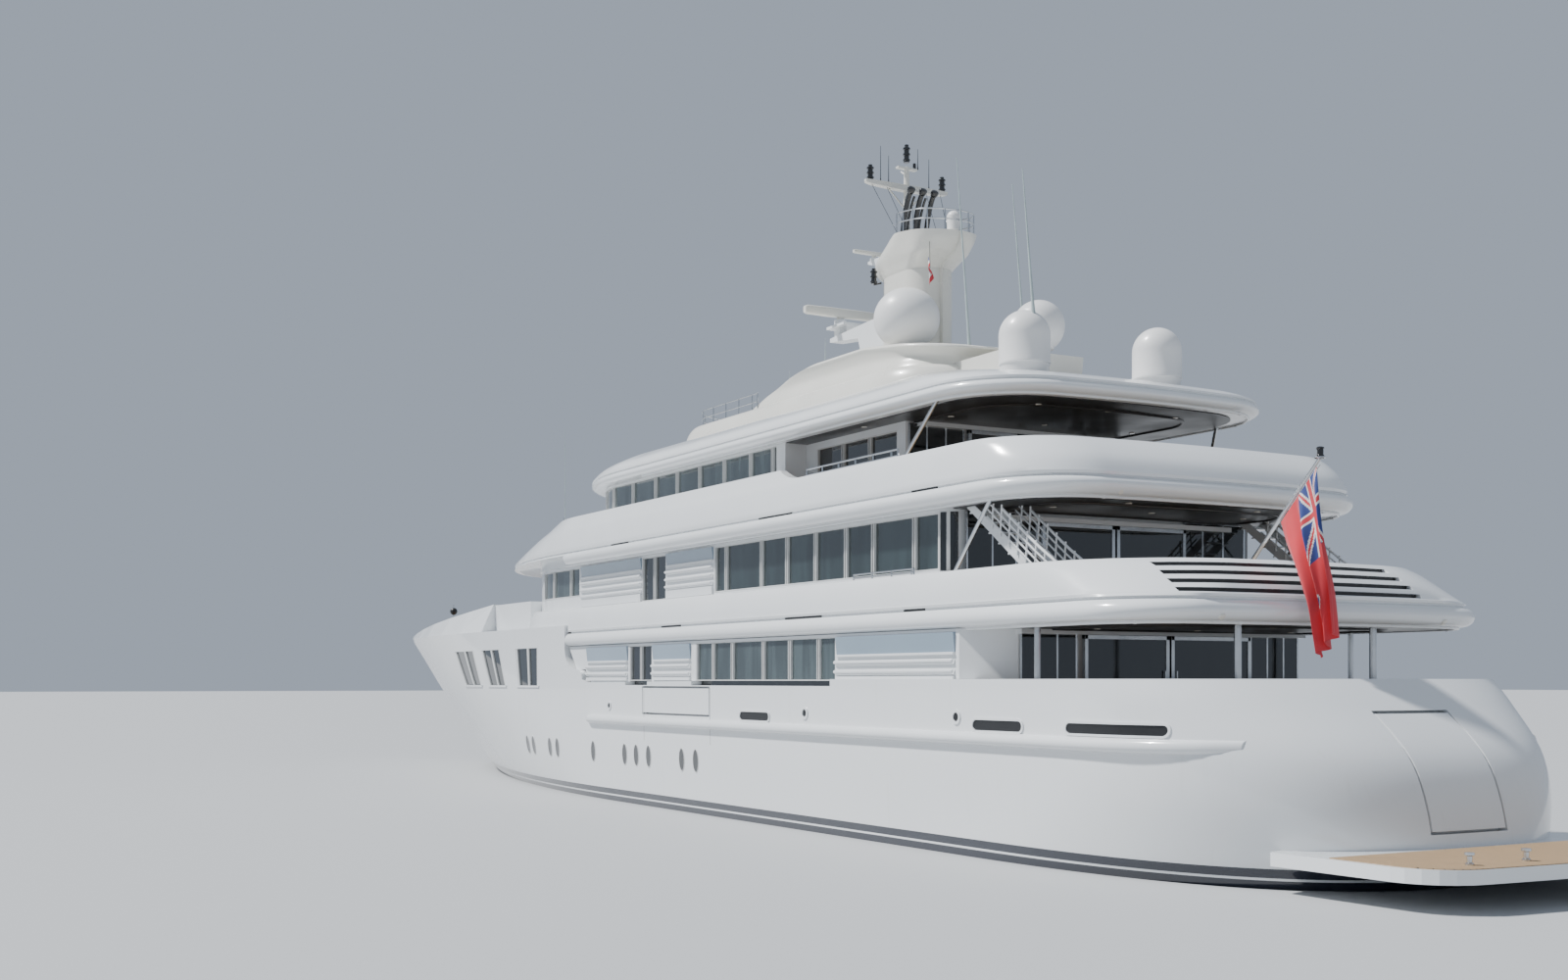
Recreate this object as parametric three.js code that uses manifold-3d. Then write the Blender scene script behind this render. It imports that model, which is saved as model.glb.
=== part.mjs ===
// Motor yacht, a 1:10 scale model of a ship about 70 m long. Millimetres, +X to the bow,
// +Y to port, +Z up. The origin is amidships on the centreline at the waterline.
import * as THREE from 'three';
import { mergeVertices } from 'three/addons/utils/BufferGeometryUtils.js';
import Module from 'manifold-3d';

const wasm = await Module();
wasm.setup();

// Driving dimensions
const HALF_BEAM = 547;
const SEAT_GAP = 0.3;
const MAIN_DECK_Z = 300;
const HULL_RAIL_Z = 405;
const UPPER_UNDERSIDE_Z = 522;
const UPPER_FLOOR_Z = 560;
const UPPER_RAIL_Z = 659;
const BRIDGE_UNDERSIDE_Z = 812;
const BRIDGE_FLOOR_Z = 850;
const BRIDGE_RAIL_Z = 952;
const BRIDGE_SHELF_Z = 985;
const ROOF_UNDERSIDE_Z = 1082;
const ROOF_CROWN_Z = 1196;
const PLATFORM_Z = 1356;
const DISH_TOP_Z = 1713;
const CAP_Z = 597;
const WALL = 18;
const GLASS = 5;

// Colours and finishes
const finish = {
  white: { color: 0xf2f3f2, roughness: 0.25, metalness: 0.0 },
  cream: { color: 0xe9e6dc, roughness: 0.35, metalness: 0.0 },
  glass: { color: 0x10161a, roughness: 0.08, metalness: 0.1 },
  chrome: { color: 0xc9ccd0, roughness: 0.18, metalness: 1.0 },
  bronze: { color: 0xa07a3c, roughness: 0.35, metalness: 1.0 },
  black: { color: 0x17181a, roughness: 0.5, metalness: 0.1 },
  teak: { color: 0xa9804f, roughness: 0.7, metalness: 0.0 },
  red: { color: 0xb3152a, roughness: 0.8, metalness: 0.0 },
};

const yacht = new THREE.Group();

// Mesh tools
function toSolid(geometry) {
  const bare = geometry.clone();
  bare.deleteAttribute('normal');
  bare.deleteAttribute('uv');
  const merged = mergeVertices(bare, 1e-3);
  return new wasm.Manifold(new wasm.Mesh({
    numProp: 3,
    vertProperties: new Float32Array(merged.attributes.position.array),
    triVerts: new Uint32Array(merged.index.array),
  }));
}

function toGeometry(solid) {
  const mesh = solid.getMesh();
  const geometry = new THREE.BufferGeometry();
  geometry.setAttribute('position', new THREE.BufferAttribute(new Float32Array(mesh.vertProperties), 3));
  geometry.setIndex(new THREE.BufferAttribute(new Uint32Array(mesh.triVerts), 1));
  return geometry;
}

function join(...geometries) {
  return toGeometry(geometries.map(toSolid).reduce((whole, piece) => whole.add(piece)));
}

function cut(geometry, ...tools) {
  return toGeometry(tools.map(toSolid).reduce((whole, tool) => whole.subtract(tool), toSolid(geometry)));
}

function common(geometry, other) {
  return toGeometry(toSolid(geometry).intersect(toSolid(other)));
}

function shifted(geometry, x, y, z) {
  return geometry.clone().translate(x, y, z);
}

function add(name, geometry, look) {
  geometry.computeVertexNormals();
  const mesh = new THREE.Mesh(geometry, new THREE.MeshStandardMaterial(finish[look]));
  mesh.name = name;
  yacht.add(mesh);
  return mesh;
}

// A mirrored copy across the centreline, with its faces turned out again
function mirrored(geometry) {
  const copy = geometry.index ? geometry.toNonIndexed() : geometry.clone();
  copy.scale(1, -1, 1);
  const place = copy.attributes.position;
  const a = new THREE.Vector3();
  const b = new THREE.Vector3();
  for (let i = 0; i < place.count; i += 3) {
    a.fromBufferAttribute(place, i);
    b.fromBufferAttribute(place, i + 1);
    place.setXYZ(i, b.x, b.y, b.z);
    place.setXYZ(i + 1, a.x, a.y, a.z);
  }
  const bare = new THREE.BufferGeometry();
  bare.setAttribute('position', place);
  return mergeVertices(bare, 1e-4);
}

function box(x0, x1, y0, y1, z0, z1) {
  const shape = new THREE.BoxGeometry(x1 - x0, y1 - y0, z1 - z0);
  return shape.translate((x0 + x1) / 2, (y0 + y1) / 2, (z0 + z1) / 2);
}

function capTriangles(ring, strips) {
  if (!strips) {
    return THREE.ShapeUtils.triangulateShape(ring.map((point) => new THREE.Vector2(point.x, point.y)), []);
  }
  const count = ring.length;
  const triangles = [[0, 1, count - 1]];
  for (let i = 1; i + 1 < count / 2; i += 1) {
    triangles.push([i, i + 1, count - i - 1], [i, count - i - 1, count - i]);
  }
  triangles.push([count / 2 - 1, count / 2, count / 2 + 1]);
  return triangles;
}

// A closed solid through rings of equal length, listed from the bottom up, each counter-clockwise
// from above. The end caps are triangulated in plan, or laid in strips across the ship.
function loft(rings, strips = false) {
  const count = rings[0].length;
  const position = [];
  const index = [];
  for (const ring of rings) {
    for (const point of ring) position.push(point.x, point.y, point.z);
  }
  for (let level = 0; level + 1 < rings.length; level += 1) {
    for (let i = 0; i < count; i += 1) {
      const a = level * count + i;
      const b = level * count + ((i + 1) % count);
      if (i < count / 2) index.push(a, b, b + count, a, b + count, a + count);
      else index.push(a, b, a + count, b, b + count, a + count);
    }
  }
  const top = (rings.length - 1) * count;
  for (const [a, b, c] of capTriangles(rings[0], strips)) index.push(a, c, b);
  for (const [a, b, c] of capTriangles(rings.at(-1), strips)) index.push(top + a, top + b, top + c);
  const geometry = new THREE.BufferGeometry();
  geometry.setAttribute('position', new THREE.Float32BufferAttribute(position, 3));
  geometry.setIndex(index);
  return geometry;
}

// The full plan ring of a port half that runs from the nose to the stern, both on the centreline
function bothSides(half, z) {
  const height = typeof z === 'function' ? z : () => z;
  const port = half.map(([x, y]) => new THREE.Vector3(x, y, height(x)));
  const starboard = half.slice(1, -1).reverse().map(([x, y]) => new THREE.Vector3(x, -y, height(x)));
  return [...port, ...starboard];
}

// A deck plan: elliptic front, straight sides, rounded corners and a slightly bowed stern
const STERN_BOW = 12;
function deckHalf({ nose, start, half, aft, corner }) {
  const points = [];
  for (let i = 0; i <= 12; i += 1) {
    const angle = (i / 12) * Math.PI / 2;
    points.push([start + (nose - start) * Math.cos(angle), half * Math.sin(angle)]);
  }
  for (let i = 0; i <= 6; i += 1) {
    const angle = (i / 6) * Math.PI / 2;
    points.push([aft + corner * (1 - Math.sin(angle)), half - corner * (1 - Math.cos(angle))]);
  }
  points.push([aft - STERN_BOW * 0.75, (half - corner) / 2], [aft - STERN_BOW, 0]);
  points[0][1] = 0;
  return points;
}

function deckLoft(levels, strips = false) {
  return loft(levels.map((level) => bothSides(deckHalf(level), level.z)), strips);
}

// The plan of a band at a height between two of its levels, drawn in by an inset
function planAt(levels, z, inset) {
  const above = levels.findIndex((level) => level.z > z);
  const low = levels[above - 1];
  const high = levels[above];
  const part = (z - low.z) / (high.z - low.z);
  const at = (key) => low[key] + (high[key] - low[key]) * part;
  return deckHalf({
    nose: at('nose') - inset, start: at('start'), half: at('half') - inset,
    aft: at('aft') + inset, corner: at('corner') - inset });
}

function prism(half, z0, z1) {
  return loft([bothSides(half, z0), bothSides(half, z1)]);
}

// An outline in the XZ plane, counter-clockwise seen from starboard, made into a bar across the ship
function crossBar(points, y0, y1) {
  const shape = new THREE.Shape(points.map(([x, z]) => new THREE.Vector2(x, z)));
  const bar = new THREE.ExtrudeGeometry(shape, { depth: y1 - y0, bevelEnabled: false });
  return bar.rotateX(Math.PI / 2).translate(0, y1, 0);
}

function rod(from, to, radius, sides = 8) {
  const a = new THREE.Vector3(...from);
  const b = new THREE.Vector3(...to);
  const shape = new THREE.CylinderGeometry(radius, radius, a.distanceTo(b), sides);
  const along = b.clone().sub(a).normalize();
  const turn = new THREE.Quaternion().setFromUnitVectors(new THREE.Vector3(0, 1, 0), along);
  return shape.applyQuaternion(turn).translate(...a.add(b).multiplyScalar(0.5).toArray());
}

function spun(profile, x, y, z, sides = 20) {
  const shape = new THREE.LatheGeometry(profile.map(([r, h]) => new THREE.Vector2(r, h)), sides);
  return shape.rotateX(Math.PI / 2).translate(x, y, z);
}

// Hull. Each row is one waterline: height, greatest half breadth, where the bow taper starts, stem,
// fullness of the bow, where the stern run starts, stern, fullness of the stern.
const HULL_LINES = [
  [-350, 30, 200, 1750, 1.6, -200, -1500, 2.0],
  [-332, 210, 50, 1900, 1.7, -500, -1850, 2.0],
  [-290, 350, 0, 2020, 1.7, -700, -2150, 2.0],
  [-220, 452, -50, 2180, 1.75, -1000, -2520, 2.1],
  [-120, 512, -150, 2340, 1.85, -1500, -2780, 2.3],
  [-50, 530, -250, 2430, 1.95, -1900, -3060, 2.6],
  [0, 536, -300, 2490, 2.0, -2150, -3165, 2.8],
  [42, 539, -150, 2575, 2.05, -2250, -3172, 2.9],
  [160, 544, 100, 2790, 2.2, -2450, -3150, 3.0],
  [257, 546.5, 300, 2965, 2.3, -2540, -3105, 3.0],
  [350, HALF_BEAM, 450, 3120, 2.5, -2600, -3005, 3.0],
  [HULL_RAIL_Z, HALF_BEAM, 550, 3205, 2.6, -2600, -2940, 3.0],
  [500, HALF_BEAM, 700, 3340, 2.8, -2600, -2938, 3.0],
  [CAP_Z, HALF_BEAM, 850, 3500, 3.0, -2600, -2936, 3.0],
];
const STERN_STEPS = 16;
const SHEER_START = 2000;
const SHEER_RISE = 52;

function waterline([, half, bowStart, stem, bowPower, sternStart, stern, sternPower], inset = 0) {
  const points = [];
  for (let i = 0; i <= 14; i += 1) {
    const s = Math.cos((i / 14) * Math.PI / 2);
    points.push([bowStart + (stem - inset * 2 - bowStart) * s, (half - inset) * (1 - s ** bowPower)]);
  }
  for (let i = 0; i <= STERN_STEPS; i += 1) {
    const angle = (i / STERN_STEPS) * Math.PI / 2;
    const x = sternStart + (stern + inset - sternStart) * Math.sin(angle) ** (2 / sternPower);
    points.push([x, (half - inset) * Math.cos(angle) ** (2 / sternPower)]);
  }
  points[0][1] = 0;
  points.at(-1)[1] = 0;
  return points;
}

function sheer(x) {
  return CAP_Z + SHEER_RISE * (Math.max(0, x - SHEER_START) / 1500) ** 2;
}

const STEP_X = 226;
const AFT_WELL_X = -2240;
const hullRings = HULL_LINES.map((line) => bothSides(waterline(line), line[0] === CAP_Z ? sheer : line[0]));
const railLine = HULL_LINES.find(([z]) => z === HULL_RAIL_Z);
const capLine = HULL_LINES.at(-1);
const aboveRail = crossBar([
  [-4000, HULL_RAIL_Z], [-1600, HULL_RAIL_Z], [-60, 396], [18, 396], [70, 440], [150, 440], [STEP_X, 523],
  [STEP_X, 900], [-4000, 900]], -700, 700);
const wellHalf = [[AFT_WELL_X, 0], ...waterline(railLine, 16).filter(([x]) => x < AFT_WELL_X)];
wellHalf.splice(1, 0, [AFT_WELL_X, HALF_BEAM - 16]);
const CABIN_HALF = 506;
const FOREDECK_FLOOR_Z = 560;
const FOREDECK_AFT_X = 1160;
const foreHalf = waterline(capLine, 20).filter(([x]) => x > FOREDECK_AFT_X);
foreHalf.push([FOREDECK_AFT_X, foreHalf.at(-1)[1]], [FOREDECK_AFT_X, 0]);
const MAIN_WINDOWS = [
  { x0: -483, x1: -309, z0: 387, z1: 514 },
  { x0: -1628, x1: -805, z0: 387, z1: 514 },
];
const hullForm = cut(
  loft(hullRings, true),
  aboveRail,
  prism(wellHalf, MAIN_DECK_Z, 500),
  box(AFT_WELL_X - 1, STEP_X - 40, -CABIN_HALF, CABIN_HALF, MAIN_DECK_Z, 590),
  prism(foreHalf, FOREDECK_FLOOR_Z, 760),
  ...MAIN_WINDOWS.map(({ x0, x1, z0 }) => box(x0, x1, -700, 700, z0, HULL_RAIL_Z + 1)),
);

// Raked window recesses in the bow flare: foot and head run fore and aft at fixed heights
const BOW_WINDOWS = [
  { foot: [1170, 1430], head: [1243, 1521] },
  { foot: [848, 1053], head: [915, 1136] },
  { foot: [490, 698], head: [490, 730] },
];
const BOW_WINDOW_Z = { foot: 383, head: 522 };
const BOW_WINDOW_DEPTH = 8;
const bowRecesses = BOW_WINDOWS.map(({ foot, head }) => cut(
  crossBar([[foot[0], BOW_WINDOW_Z.foot], [foot[1], BOW_WINDOW_Z.foot], [head[1], BOW_WINDOW_Z.head],
    [head[0], BOW_WINDOW_Z.head]], 300, 700),
  shifted(hullForm, 0, -BOW_WINDOW_DEPTH, 0),
));
const hullBlank = cut(hullForm, ...bowRecesses, ...bowRecesses.map(mirrored));

// Doors in the hull: a panel takes its outer face from the hull and leaves a recess behind it
const DOOR_GAP = 6;
const DOOR_THICK = 12;
const DOOR_DEPTH_GAP = 10;
const PIN_RADIUS = 3;
const transomDoor = { y0: -105, y1: 105, z0: 110, z1: 335 };
const shellDoor = { x0: -923, x1: -451, z0: 300, z1: 378 };

function doorBox(door, grow) {
  if (door.x0 === undefined) {
    return box(-3400, -2900, door.y0 - grow, door.y1 + grow, door.z0 - grow, door.z1 + grow);
  }
  return box(door.x0 - grow, door.x1 + grow, 400, 700, door.z0 - grow, door.z1 + grow);
}

// Hinge pins stand in the door edges and end a seat gap short of the recess sides
const TRANSOM_AXIS = { x: -3019.5, z: 330 };
const SHELL_AXIS = { y: 541, z: 306 };
const transomPin = (side) => rod(
  [TRANSOM_AXIS.x, side * (transomDoor.y1 - 5), TRANSOM_AXIS.z],
  [TRANSOM_AXIS.x, side * (transomDoor.y1 + DOOR_GAP - SEAT_GAP), TRANSOM_AXIS.z], PIN_RADIUS, 10);
const shellPin = (from, to) => rod(
  [from, SHELL_AXIS.y, SHELL_AXIS.z],
  [to, SHELL_AXIS.y, SHELL_AXIS.z], PIN_RADIUS, 10);
const transomSkin = join(
  cut(common(hullBlank, doorBox(transomDoor, 0)), shifted(hullBlank, DOOR_THICK, 0, 0),
    box(TRANSOM_AXIS.x + 5, -2900, -200, 200, 300, 400)),
  transomPin(1), transomPin(-1),
);
const DOOR_RECESS = DOOR_THICK + DOOR_DEPTH_GAP;
const transomRecess = cut(doorBox(transomDoor, DOOR_GAP), shifted(hullBlank, DOOR_RECESS, 0, 0));
const CHAMFER = 3;
const footCorners = [
  [HALF_BEAM - CHAMFER, shellDoor.z0 - 1],
  [HALF_BEAM + 1, shellDoor.z0 - 1],
  [HALF_BEAM + 1, shellDoor.z0 + CHAMFER + 1],
];
const footOutline = new THREE.Shape(footCorners.map(([y, z]) => new THREE.Vector2(y, z)));
const shellFoot = new THREE.ExtrudeGeometry(footOutline, { depth: 600, bevelEnabled: false });
shellFoot.rotateX(Math.PI / 2).rotateZ(Math.PI / 2).translate(-1000, 0, 0);
const shellSkin = join(
  cut(common(hullBlank, doorBox(shellDoor, 0)), shifted(hullBlank, 0, -DOOR_THICK, 0), shellFoot),
  shellPin(shellDoor.x0 + 5, shellDoor.x0 - DOOR_GAP + SEAT_GAP),
  shellPin(shellDoor.x1 - 5, shellDoor.x1 + DOOR_GAP - SEAT_GAP),
);
const shellRecess = cut(doorBox(shellDoor, DOOR_GAP), shifted(hullBlank, 0, -DOOR_RECESS, 0));
const SHAFT_Y = 200;
const RUDDER = { x: -2900, port: -124, radius: 15 };
const FIN = { x: 0, y: 401, z: -255, out: [0, 0.566, -0.825] };
function alongFin(distance) {
  return [FIN.x, FIN.y + FIN.out[1] * distance, FIN.z + FIN.out[2] * distance];
}

const bosses = [
  rod([RUDDER.x, SHAFT_Y, -20], [RUDDER.x, SHAFT_Y, RUDDER.port], RUDDER.radius, 14),
  rod(alongFin(-30), alongFin(4), 20, 16),
];
const hull = join(
  cut(hullBlank, transomRecess, shellRecess, mirrored(shellRecess)),
  ...bosses, ...bosses.map(mirrored),
);
add('hull', hull, 'white');
add('transom_door', transomSkin, 'white');
add('shell_door_port', shellSkin, 'white');
add('shell_door_starboard', mirrored(shellSkin), 'white');

// Rub rails, a fat half-round roll along each side
const RUB = { z: 271, height: 15, depth: 19, front: 8, aft: -2985 };
function sideAt(x, z) {
  const at = (line) => {
    const half = waterline(line);
    const next = half.findIndex(([px]) => px < x);
    const [x0, y0] = half[next - 1];
    const [x1, y1] = half[next];
    return y0 + (y1 - y0) * (x - x0) / (x1 - x0);
  };
  const upper = HULL_LINES.findIndex(([level]) => level > z);
  const low = HULL_LINES[upper - 1];
  const high = HULL_LINES[upper];
  const part = (z - low[0]) / (high[0] - low[0]);
  return at(low) * (1 - part) + at(high) * part;
}

function rubRing(x, swell) {
  const inner = Math.min(sideAt(x, RUB.z - RUB.height), sideAt(x, RUB.z + RUB.height)) - 3;
  const ring = [];
  for (let i = 0; i <= 6; i += 1) {
    const angle = Math.PI * (i / 6 - 0.5);
    const out = inner + 6 + (RUB.depth - 3) * swell * Math.cos(angle);
    ring.push([out, RUB.z + RUB.height * swell * Math.sin(angle)]);
  }
  ring.push([inner, RUB.z + RUB.height * swell], [inner, RUB.z - RUB.height * swell]);
  return ring.map(([y, z]) => new THREE.Vector3(x, y, z));
}

// A closed solid through rings along X, listed from bow to stern, counter-clockwise seen from the bow
function loftAlong(rings) {
  const turned = rings.map((ring) => ring.map((p) => new THREE.Vector3(p.y, p.z, p.x)));
  const geometry = loft(turned.reverse());
  const place = geometry.attributes.position;
  for (let i = 0; i < place.count; i += 1) {
    place.setXYZ(i, place.getZ(i), place.getX(i), place.getY(i));
  }
  return geometry;
}

const rubStations = [[RUB.front, 0.35], [-6, 0.8], [-30, 1], [-1300, 1], [-2540, 1], [-2700, 1], [-2800, 1],
  [-2880, 1], [-2940, 1], [RUB.aft, 1]];
const rubRail = cut(
  loftAlong(rubStations.map(([x, swell]) => rubRing(x, swell))),
  ...[[-SEAT_GAP, 0], [0, SEAT_GAP], [-SEAT_GAP, SEAT_GAP]].map(([x, y]) => shifted(hullBlank, x, y, 0)),
);
add('rub_rail_port', rubRail, 'white');
add('rub_rail_starboard', mirrored(rubRail), 'white');

// Swim platform
const SWIM = { z0: 52, z1: 78, half: 430, aft: -3450, corner: 110 };
const swimHalf = deckHalf({
  nose: -3020, start: -3060, half: SWIM.half, aft: SWIM.aft, corner: SWIM.corner });
const hullClear = [[-SEAT_GAP, 0, 0], [0, SEAT_GAP, 0], [0, -SEAT_GAP, 0]];
const swimPlatform = cut(
  prism(swimHalf, SWIM.z0, SWIM.z1),
  ...hullClear.map((by) => shifted(hullBlank, ...by)),
);
add('swim_platform', swimPlatform, 'white');

// Main deck house: a ring of wall with its windows cut, a dark glass lining and an aft bulkhead
function polyRing(half, z0, z1, thick) {
  return cut(prism(half(0), z0, z1), prism(half(thick), z0 - 1, z1 + 1));
}

const MAIN_SIDE = 530;
const MAIN_AFT = -2290;
const mainHalf = (inset) => [
  [STEP_X - 2 - inset, 0], [STEP_X - 2 - inset, MAIN_SIDE - inset], [-2185 + inset * 0.4, MAIN_SIDE - inset],
  [MAIN_AFT + inset, 440 - inset * 0.6], [MAIN_AFT + inset, 0]];
function sideWindow(x0, x1, z0, z1) {
  return box(x0, x1, -700, 700, z0, z1);
}

// Sliding doors: each pair of leaves hangs from a header track on its bulkhead
const SALOON = { half: 250, z0: MAIN_DECK_Z + 6, z1: 500, travel: 180, face: -6 };
const LEAF_THICK = 12;
const LEAF_LAP = 10;
const LEAF_RISE = 8;
function headerTrack(aft, { half, z1, travel, face }) {
  const reach = half + LEAF_LAP + travel + 5;
  const bottom = z1 + LEAF_RISE + SEAT_GAP;
  return box(aft + face - LEAF_THICK - 2, aft + WALL * 0.2, -reach, reach, bottom, bottom + LEAF_THICK);
}

const mainWall = polyRing(mainHalf, MAIN_DECK_Z + SEAT_GAP, UPPER_UNDERSIDE_Z - SEAT_GAP, WALL);
const belowRail = cut(box(-2235, 400, -700, 700, 200, 407), shifted(aboveRail, 0, 0, SEAT_GAP));
const aftSkirts = [box(-2240, -2170, 400, 700, 200, 405.3), box(-2240, -2170, -700, -400, 200, 405.3)];
const mainHouse = join(cut(
  mainWall, belowRail, ...aftSkirts, shifted(hull, 0, 0, SEAT_GAP), shifted(hull, -SEAT_GAP, 0, 0),
  ...MAIN_WINDOWS.map(({ x0, x1, z0, z1 }) => sideWindow(x0, x1, z0, z1)),
  box(-2400, -2250, -SALOON.half, SALOON.half, SALOON.z0, SALOON.z1),
), headerTrack(MAIN_AFT, SALOON));
add('main_house', mainHouse, 'white');
const liner = (half) => (inset) => half(WALL + SEAT_GAP + inset);
const mainGlass = cut(
  polyRing(liner(mainHalf), MAIN_WINDOWS[0].z0 + SEAT_GAP, UPPER_UNDERSIDE_Z - SEAT_GAP, GLASS),
  shifted(hull, 0, 0, SEAT_GAP), shifted(hull, -SEAT_GAP, 0, 0),
  box(-2400, -2250, -SALOON.half, SALOON.half, SALOON.z0, SALOON.z1),
);
add('main_glass', mainGlass, 'glass');

// Upper deck band: roll, groove and leaning bulwark around the deck, with wells for cabin and deck
function bandLevels(table, names) {
  return table.map((row) => Object.fromEntries(names.map((name, i) => [name, row[i]])));
}

const LEVEL_NAMES = ['z', 'nose', 'start', 'half', 'aft', 'corner'];
const upperLevels = bandLevels([
  [UPPER_UNDERSIDE_Z, 640, 600, 515, -2797, 172],
  [525, 650, 610, 534, -2816, 180],
  [533, 655, 615, 544, -2826, 184],
  [546, 660, 620, 548, -2831, 186],
  [558, 660, 620, 544, -2827, 186],
  [567, 658, 618, 535, -2819, 186],
  [574, 656, 616, 531, -2814, 190],
  [580, 655, 615, 538, -2820, 215],
  [610, 650, 612, 534, -2806, 285],
  [640, 640, 604, 526, -2776, 320],
  [UPPER_RAIL_Z, 632, 598, 516, -2745, 325],
], LEVEL_NAMES);
const upperBand = deckLoft(upperLevels);
const UPPER_SIDE = 490;
const UPPER_AFT = -2080;

// Four louvre slots across the aft face of the bulwark, cut to one depth; to port they run round the
// corner. The reach to each side is listed for the lowest and the highest slot.
const LOUVRE = { z0: 583, pitch: 19, count: 4, height: 9, port: [415, 402], starboard: [265, 215], depth: 16 };
const louvres = [];
for (let i = 0; i < LOUVRE.count; i += 1) {
  const z = LOUVRE.z0 + i * LOUVRE.pitch;
  const [port, starboard] = [LOUVRE.port, LOUVRE.starboard].map(([first, last]) => (
    first + (last - first) * (i / (LOUVRE.count - 1))));
  const core = prism(planAt(upperLevels, z + LOUVRE.height / 2, LOUVRE.depth), z - 5, z + LOUVRE.height + 5);
  louvres.push(cut(box(-2900, -2400, -starboard, port, z, z + LOUVRE.height), core));
}
const underCap = box(STEP_X - 3, 900, -700, 700, 500, CAP_Z + SEAT_GAP);
const upperDeck = cut(
  upperBand,
  underCap,
  box(UPPER_AFT + 22, 560, -462, 462, UPPER_FLOOR_Z, 700),
  prism(deckHalf({ nose: UPPER_AFT + 24, start: UPPER_AFT + 23, half: 496, aft: -2722, corner: 305 }),
    UPPER_FLOOR_Z, 700),
  ...louvres,
);
add('upper_deck', upperDeck, 'white');

// Foredeck bulwark, leaning in and falling away to the bow
const foreTop = (x) => Math.max(sheer(x) + 8, 707 - (x - 1185) * 0.063);
const foreLean = (x) => Math.min(60, (foreTop(x) - sheer(x)) * 0.55);
const foreStations = waterline(capLine, 2).filter(([x]) => x > FOREDECK_AFT_X);
const foreRing = (inset, zOf, leanOf) => {
  const half = foreStations.map(([x, y]) => [x - (y < 1 ? inset * 2 + leanOf(x) : inset * 0.4), y < 1 ? 0 :
    Math.max(1, y - inset - leanOf(x))]);
  half.push([FOREDECK_AFT_X - 10, half.at(-1)[1]], [FOREDECK_AFT_X - 10, 0]);
  return bothSides(half, (x) => zOf(x));
};
const foreBlock = loft([
  foreRing(0, (x) => sheer(x) + SEAT_GAP, () => 0),
  foreRing(0, foreTop, foreLean),
], true);
const foreWell = loft([foreRing(20, () => 540, foreLean), foreRing(20, () => 800, foreLean)]);
const foreLocker = box(745, FOREDECK_AFT_X, -480, 480, CAP_Z + SEAT_GAP, 706);
const foredeck = join(cut(foreBlock, foreWell), foreLocker);
add('foredeck_bulwark', foredeck, 'white');

// Upper deck house
const upperHalf = (inset) => deckHalf({
  nose: 1040 - inset, start: 480, half: UPPER_SIDE - inset, aft: UPPER_AFT + inset, corner: 40 });
const upperWallSolid = polyRing(upperHalf, UPPER_FLOOR_Z + SEAT_GAP, BRIDGE_UNDERSIDE_Z - SEAT_GAP, WALL);
const upperWindows = [[223, 610, 704, 803], [-503, -320, 662, 803], [-2050, -850, 668, 803]];
const UPPER_DOOR = { half: 220, z0: UPPER_FLOOR_Z + 6, z1: 780, travel: 150, face: -18 };
const frontWindows = [box(660, 1200, 20, 400, 715, 803), box(660, 1200, -400, -20, 715, 803)];
const upperHouse = join(cut(
  upperWallSolid,
  shifted(upperDeck, 0, 0, SEAT_GAP), shifted(upperDeck, SEAT_GAP, 0, 0),
  box(STEP_X - 4, 1300, -700, 700, 500, CAP_Z + SEAT_GAP),
  shifted(foredeck, 0, 0, SEAT_GAP), shifted(foredeck, -SEAT_GAP, 0, 0),
  ...upperWindows.map((window) => sideWindow(...window)),
  ...frontWindows,
  box(-2200, UPPER_AFT + 60, -UPPER_DOOR.half, UPPER_DOOR.half, UPPER_DOOR.z0, UPPER_DOOR.z1),
), headerTrack(UPPER_AFT, UPPER_DOOR));
add('upper_house', upperHouse, 'white');
const upperGlass = cut(
  polyRing(liner(upperHalf), UPPER_RAIL_Z + 4, BRIDGE_UNDERSIDE_Z - SEAT_GAP, GLASS),
  shifted(foredeck, 0, 0, SEAT_GAP), shifted(foredeck, -SEAT_GAP, 0, 0),
  box(-2200, UPPER_AFT + 26, -700, 700, UPPER_FLOOR_Z, 900),
);
add('upper_glass', upperGlass, 'glass');

// Bridge deck band with its long sloping brow
const bridgeBand = deckLoft(bandLevels([
  [BRIDGE_UNDERSIDE_Z, 1440, 300, 515, -2452, 190],
  [816, 1470, 300, 534, -2474, 200],
  [826, 1500, 300, 544, -2486, 208],
  [838, 1520, 300, 548, -2491, 212],
  [848, 1535, 300, 544, -2487, 210],
  [854, 1545, 300, 535, -2479, 205],
  [859, 1553, 300, 531, -2474, 203],
  [866, 1557, 300, 538, -2480, 208],
  [900, 1380, 280, 534, -2462, 206],
  [935, 1180, 250, 527, -2424, 200],
  [BRIDGE_RAIL_Z, 1070, 230, 521, -2396, 190],
  [BRIDGE_SHELF_Z, 880, 200, 510, -2370, 184],
], LEVEL_NAMES));
const BRIDGE_SIDE = 430;
const BRIDGE_STEP = -1180;
const BRIDGE_AFT = -1700;
const STAIR = { foot: -2500, head: -2090, y0: 392, y1: 468, steps: 11, depth: 26, well: 190, rail: 5 };
const stairWell = box(STAIR.head - STAIR.well, STAIR.head, STAIR.y0 - 6, STAIR.y1 + 6, 800, 870);
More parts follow.
